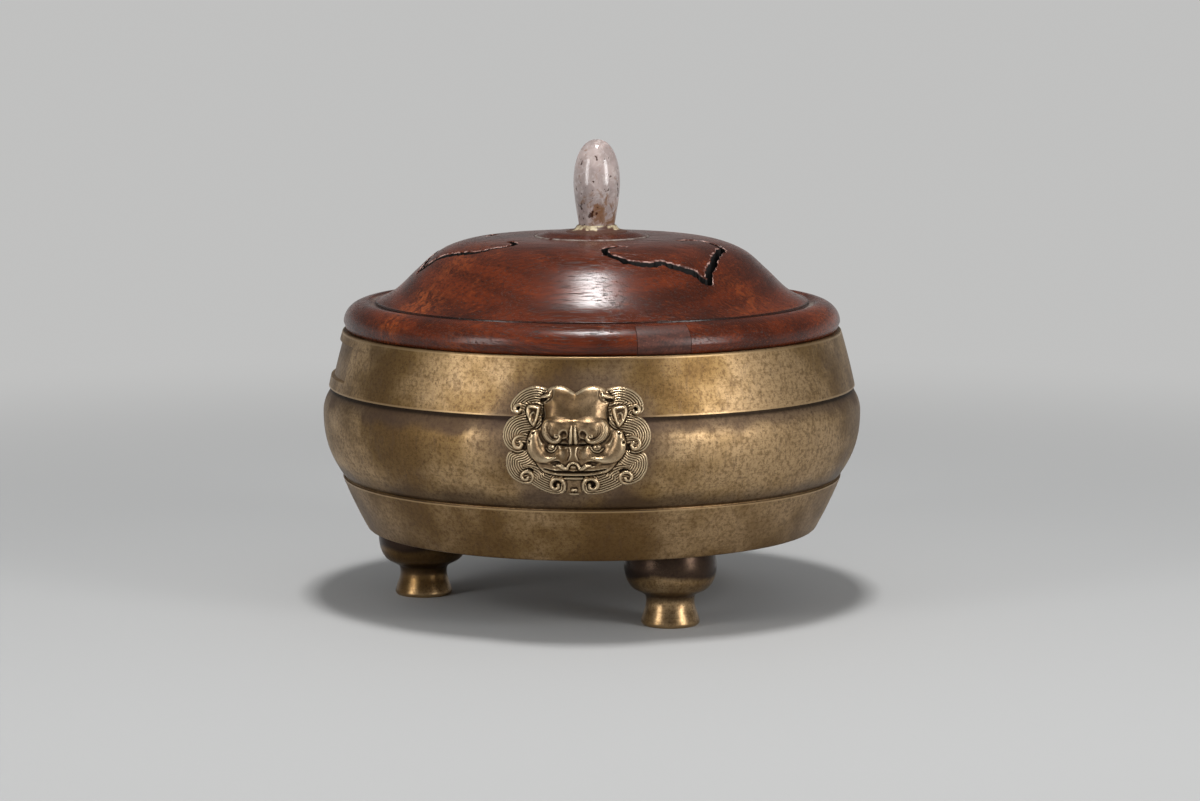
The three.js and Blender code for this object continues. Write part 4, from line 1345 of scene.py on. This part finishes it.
dress(make_vessel(), bronze("vessel_bronze_finish", vessel_wear), "censer", "vessel_bronze", "vessel")
mask_finish = bronze("mask_bronze_finish", mask_wear)
for side, azimuth in (("right", 90), ("left", 270)):
    mask = make_mask(f"lion_mask_{side}", math.radians(azimuth))
    dress(mask, mask_finish, "censer", "mask_bronze", f"mask_{side}")
foot_finish = bronze("foot_bronze_finish", foot_wear)
for place, azimuth in (("front", 0), ("rear_right", 120), ("rear_left", 240)):
    foot = make_foot(f"turned_foot_{place}", math.radians(azimuth))
    dress(foot, foot_finish, "censer", "foot_bronze", f"foot_{place}")
dress(make_lid(), rosewood("rosewood_finish", 0.0, lid_wear), "cover", "rosewood", "lid")
dress(make_patch(), end_grain("patch_finish"), "cover", "patch_wood", "rim_patch")
dress(make_seat(), rosewood("disc_finish", 0.3, seat_wear), "cover", "seat_wood", "knob_seat")
dress(make_bedding(), resin("resin_finish"), "cover", "bedding_resin", "knob_bedding")
dress(make_knob(), quartz("quartz_finish"), "cover", "quartz", "knob")
dress(make_pin(), plain_wood("pin_finish"), "cover", "pin_wood", "knob_pin")


# Floor, light and camera

BACKDROP_TONE = (0.53, 0.53, 0.525)
CEILING_TONE = (0.12, 0.12, 0.12)
CEILING_RISE = 0.28
FLOOR_TONE = (0.42, 0.42, 0.416)
FLOOR_HALF = 60000
SKY_LIGHT = (0.36, 0.37, 0.38)
BURNER_MIDDLE = Vector((0, 0, 0.07))


def make_floor():
    """Wide pale table. Away from the burner it takes the plain tone of the backdrop."""
    corners = [(x * FLOOR_HALF, y * FLOOR_HALF, 0) for x, y in ((-1, -1), (1, -1), (1, 1), (-1, 1))]
    floor = piece_from("pale_floor", corners, [[0, 1, 2, 3]])
    finish = Finish("pale_floor_finish", FLOOR_TONE, 0.7)
    plain = finish.out_from().rise(200, 600) * finish.seen_directly()
    tone = finish.node("ShaderNodeEmission", {}, {"Color": BACKDROP_TONE, "Strength": 1.0})
    both = {0: plain, 1: finish.shader(Specular_IOR_Level=0.2), 2: tone}
    finish.show("ShaderNodeOutputMaterial", finish.node("ShaderNodeMixShader", {}, both))
    floor.data.materials.append(finish.material)


def make_world():
    """Studio that is pale at the horizon and darker overhead, with a plain light of its own."""
    world = bpy.data.worlds.new("studio")
    tree = Tree(world, "Generated")
    tone = tree.mix(tree.z.rise(0.0, CEILING_RISE), BACKDROP_TONE, CEILING_TONE)
    seen = tree.node("ShaderNodeBackground", {}, {"Color": tone})
    light = tree.node("ShaderNodeBackground", {}, {"Color": SKY_LIGHT})
    both = {0: tree.seen_directly(), 1: light, 2: seen}
    tree.show("ShaderNodeOutputWorld", tree.node("ShaderNodeMixShader", {}, both))
    bpy.context.scene.world = world


def aimed(name, data, spot, look):
    """Lamp or camera at a spot, turned to look along a direction."""
    holder = bpy.data.objects.new(name, data)
    holder.location = spot
    holder.rotation_mode = "QUATERNION"
    holder.rotation_quaternion = look.to_track_quat("-Z", "Y")
    bpy.context.scene.collection.objects.link(holder)
    return holder


def softbox(name, azimuth, elevation, distance, width, height, power):
    """Rectangular lamp that looks at the middle of the burner; azimuth is counted from the camera's."""
    turn = CAMERA_AZIMUTH + math.radians(azimuth)
    tilt = math.radians(elevation)
    away = Vector((math.sin(turn) * math.cos(tilt), -math.cos(turn) * math.cos(tilt), math.sin(tilt)))
    lamp = bpy.data.lights.new(name, "AREA")
    lamp.shape = "RECTANGLE"
    lamp.size = width
    lamp.size_y = height
    lamp.energy = power
    aimed(name, lamp, BURNER_MIDDLE + away * distance, -away)


def make_camera():
    aside = Vector((math.cos(CAMERA_AZIMUTH), math.sin(CAMERA_AZIMUTH), 0))
    ahead = Vector((-math.sin(CAMERA_AZIMUTH), math.cos(CAMERA_AZIMUTH), 0))
    lens = bpy.data.cameras.new("camera")
    lens.sensor_width = PHOTO_SENSOR
    lens.lens = CAMERA_LENS
    lens.clip_start = 0.05
    lens.clip_end = 50
    spot = -ahead * CAMERA_DISTANCE + aside * CAMERA_ASIDE + Vector((0, 0, CAMERA_HEIGHT))
    look = ahead * math.cos(CAMERA_DOWN) - Vector((0, 0, math.sin(CAMERA_DOWN)))
    bpy.context.scene.camera = aimed("camera", lens, spot, look)


make_floor()
make_world()
make_camera()
softbox("left_softbox", azimuth=-50, elevation=15, distance=0.9, width=0.25, height=0.55, power=2.9)
softbox("right_softbox", azimuth=50, elevation=15, distance=0.9, width=0.25, height=0.55, power=4.2)
softbox("top_softbox", azimuth=3, elevation=80, distance=0.9, width=0.13, height=0.2, power=7.0)
bpy.context.scene.view_settings.view_transform = "Standard"
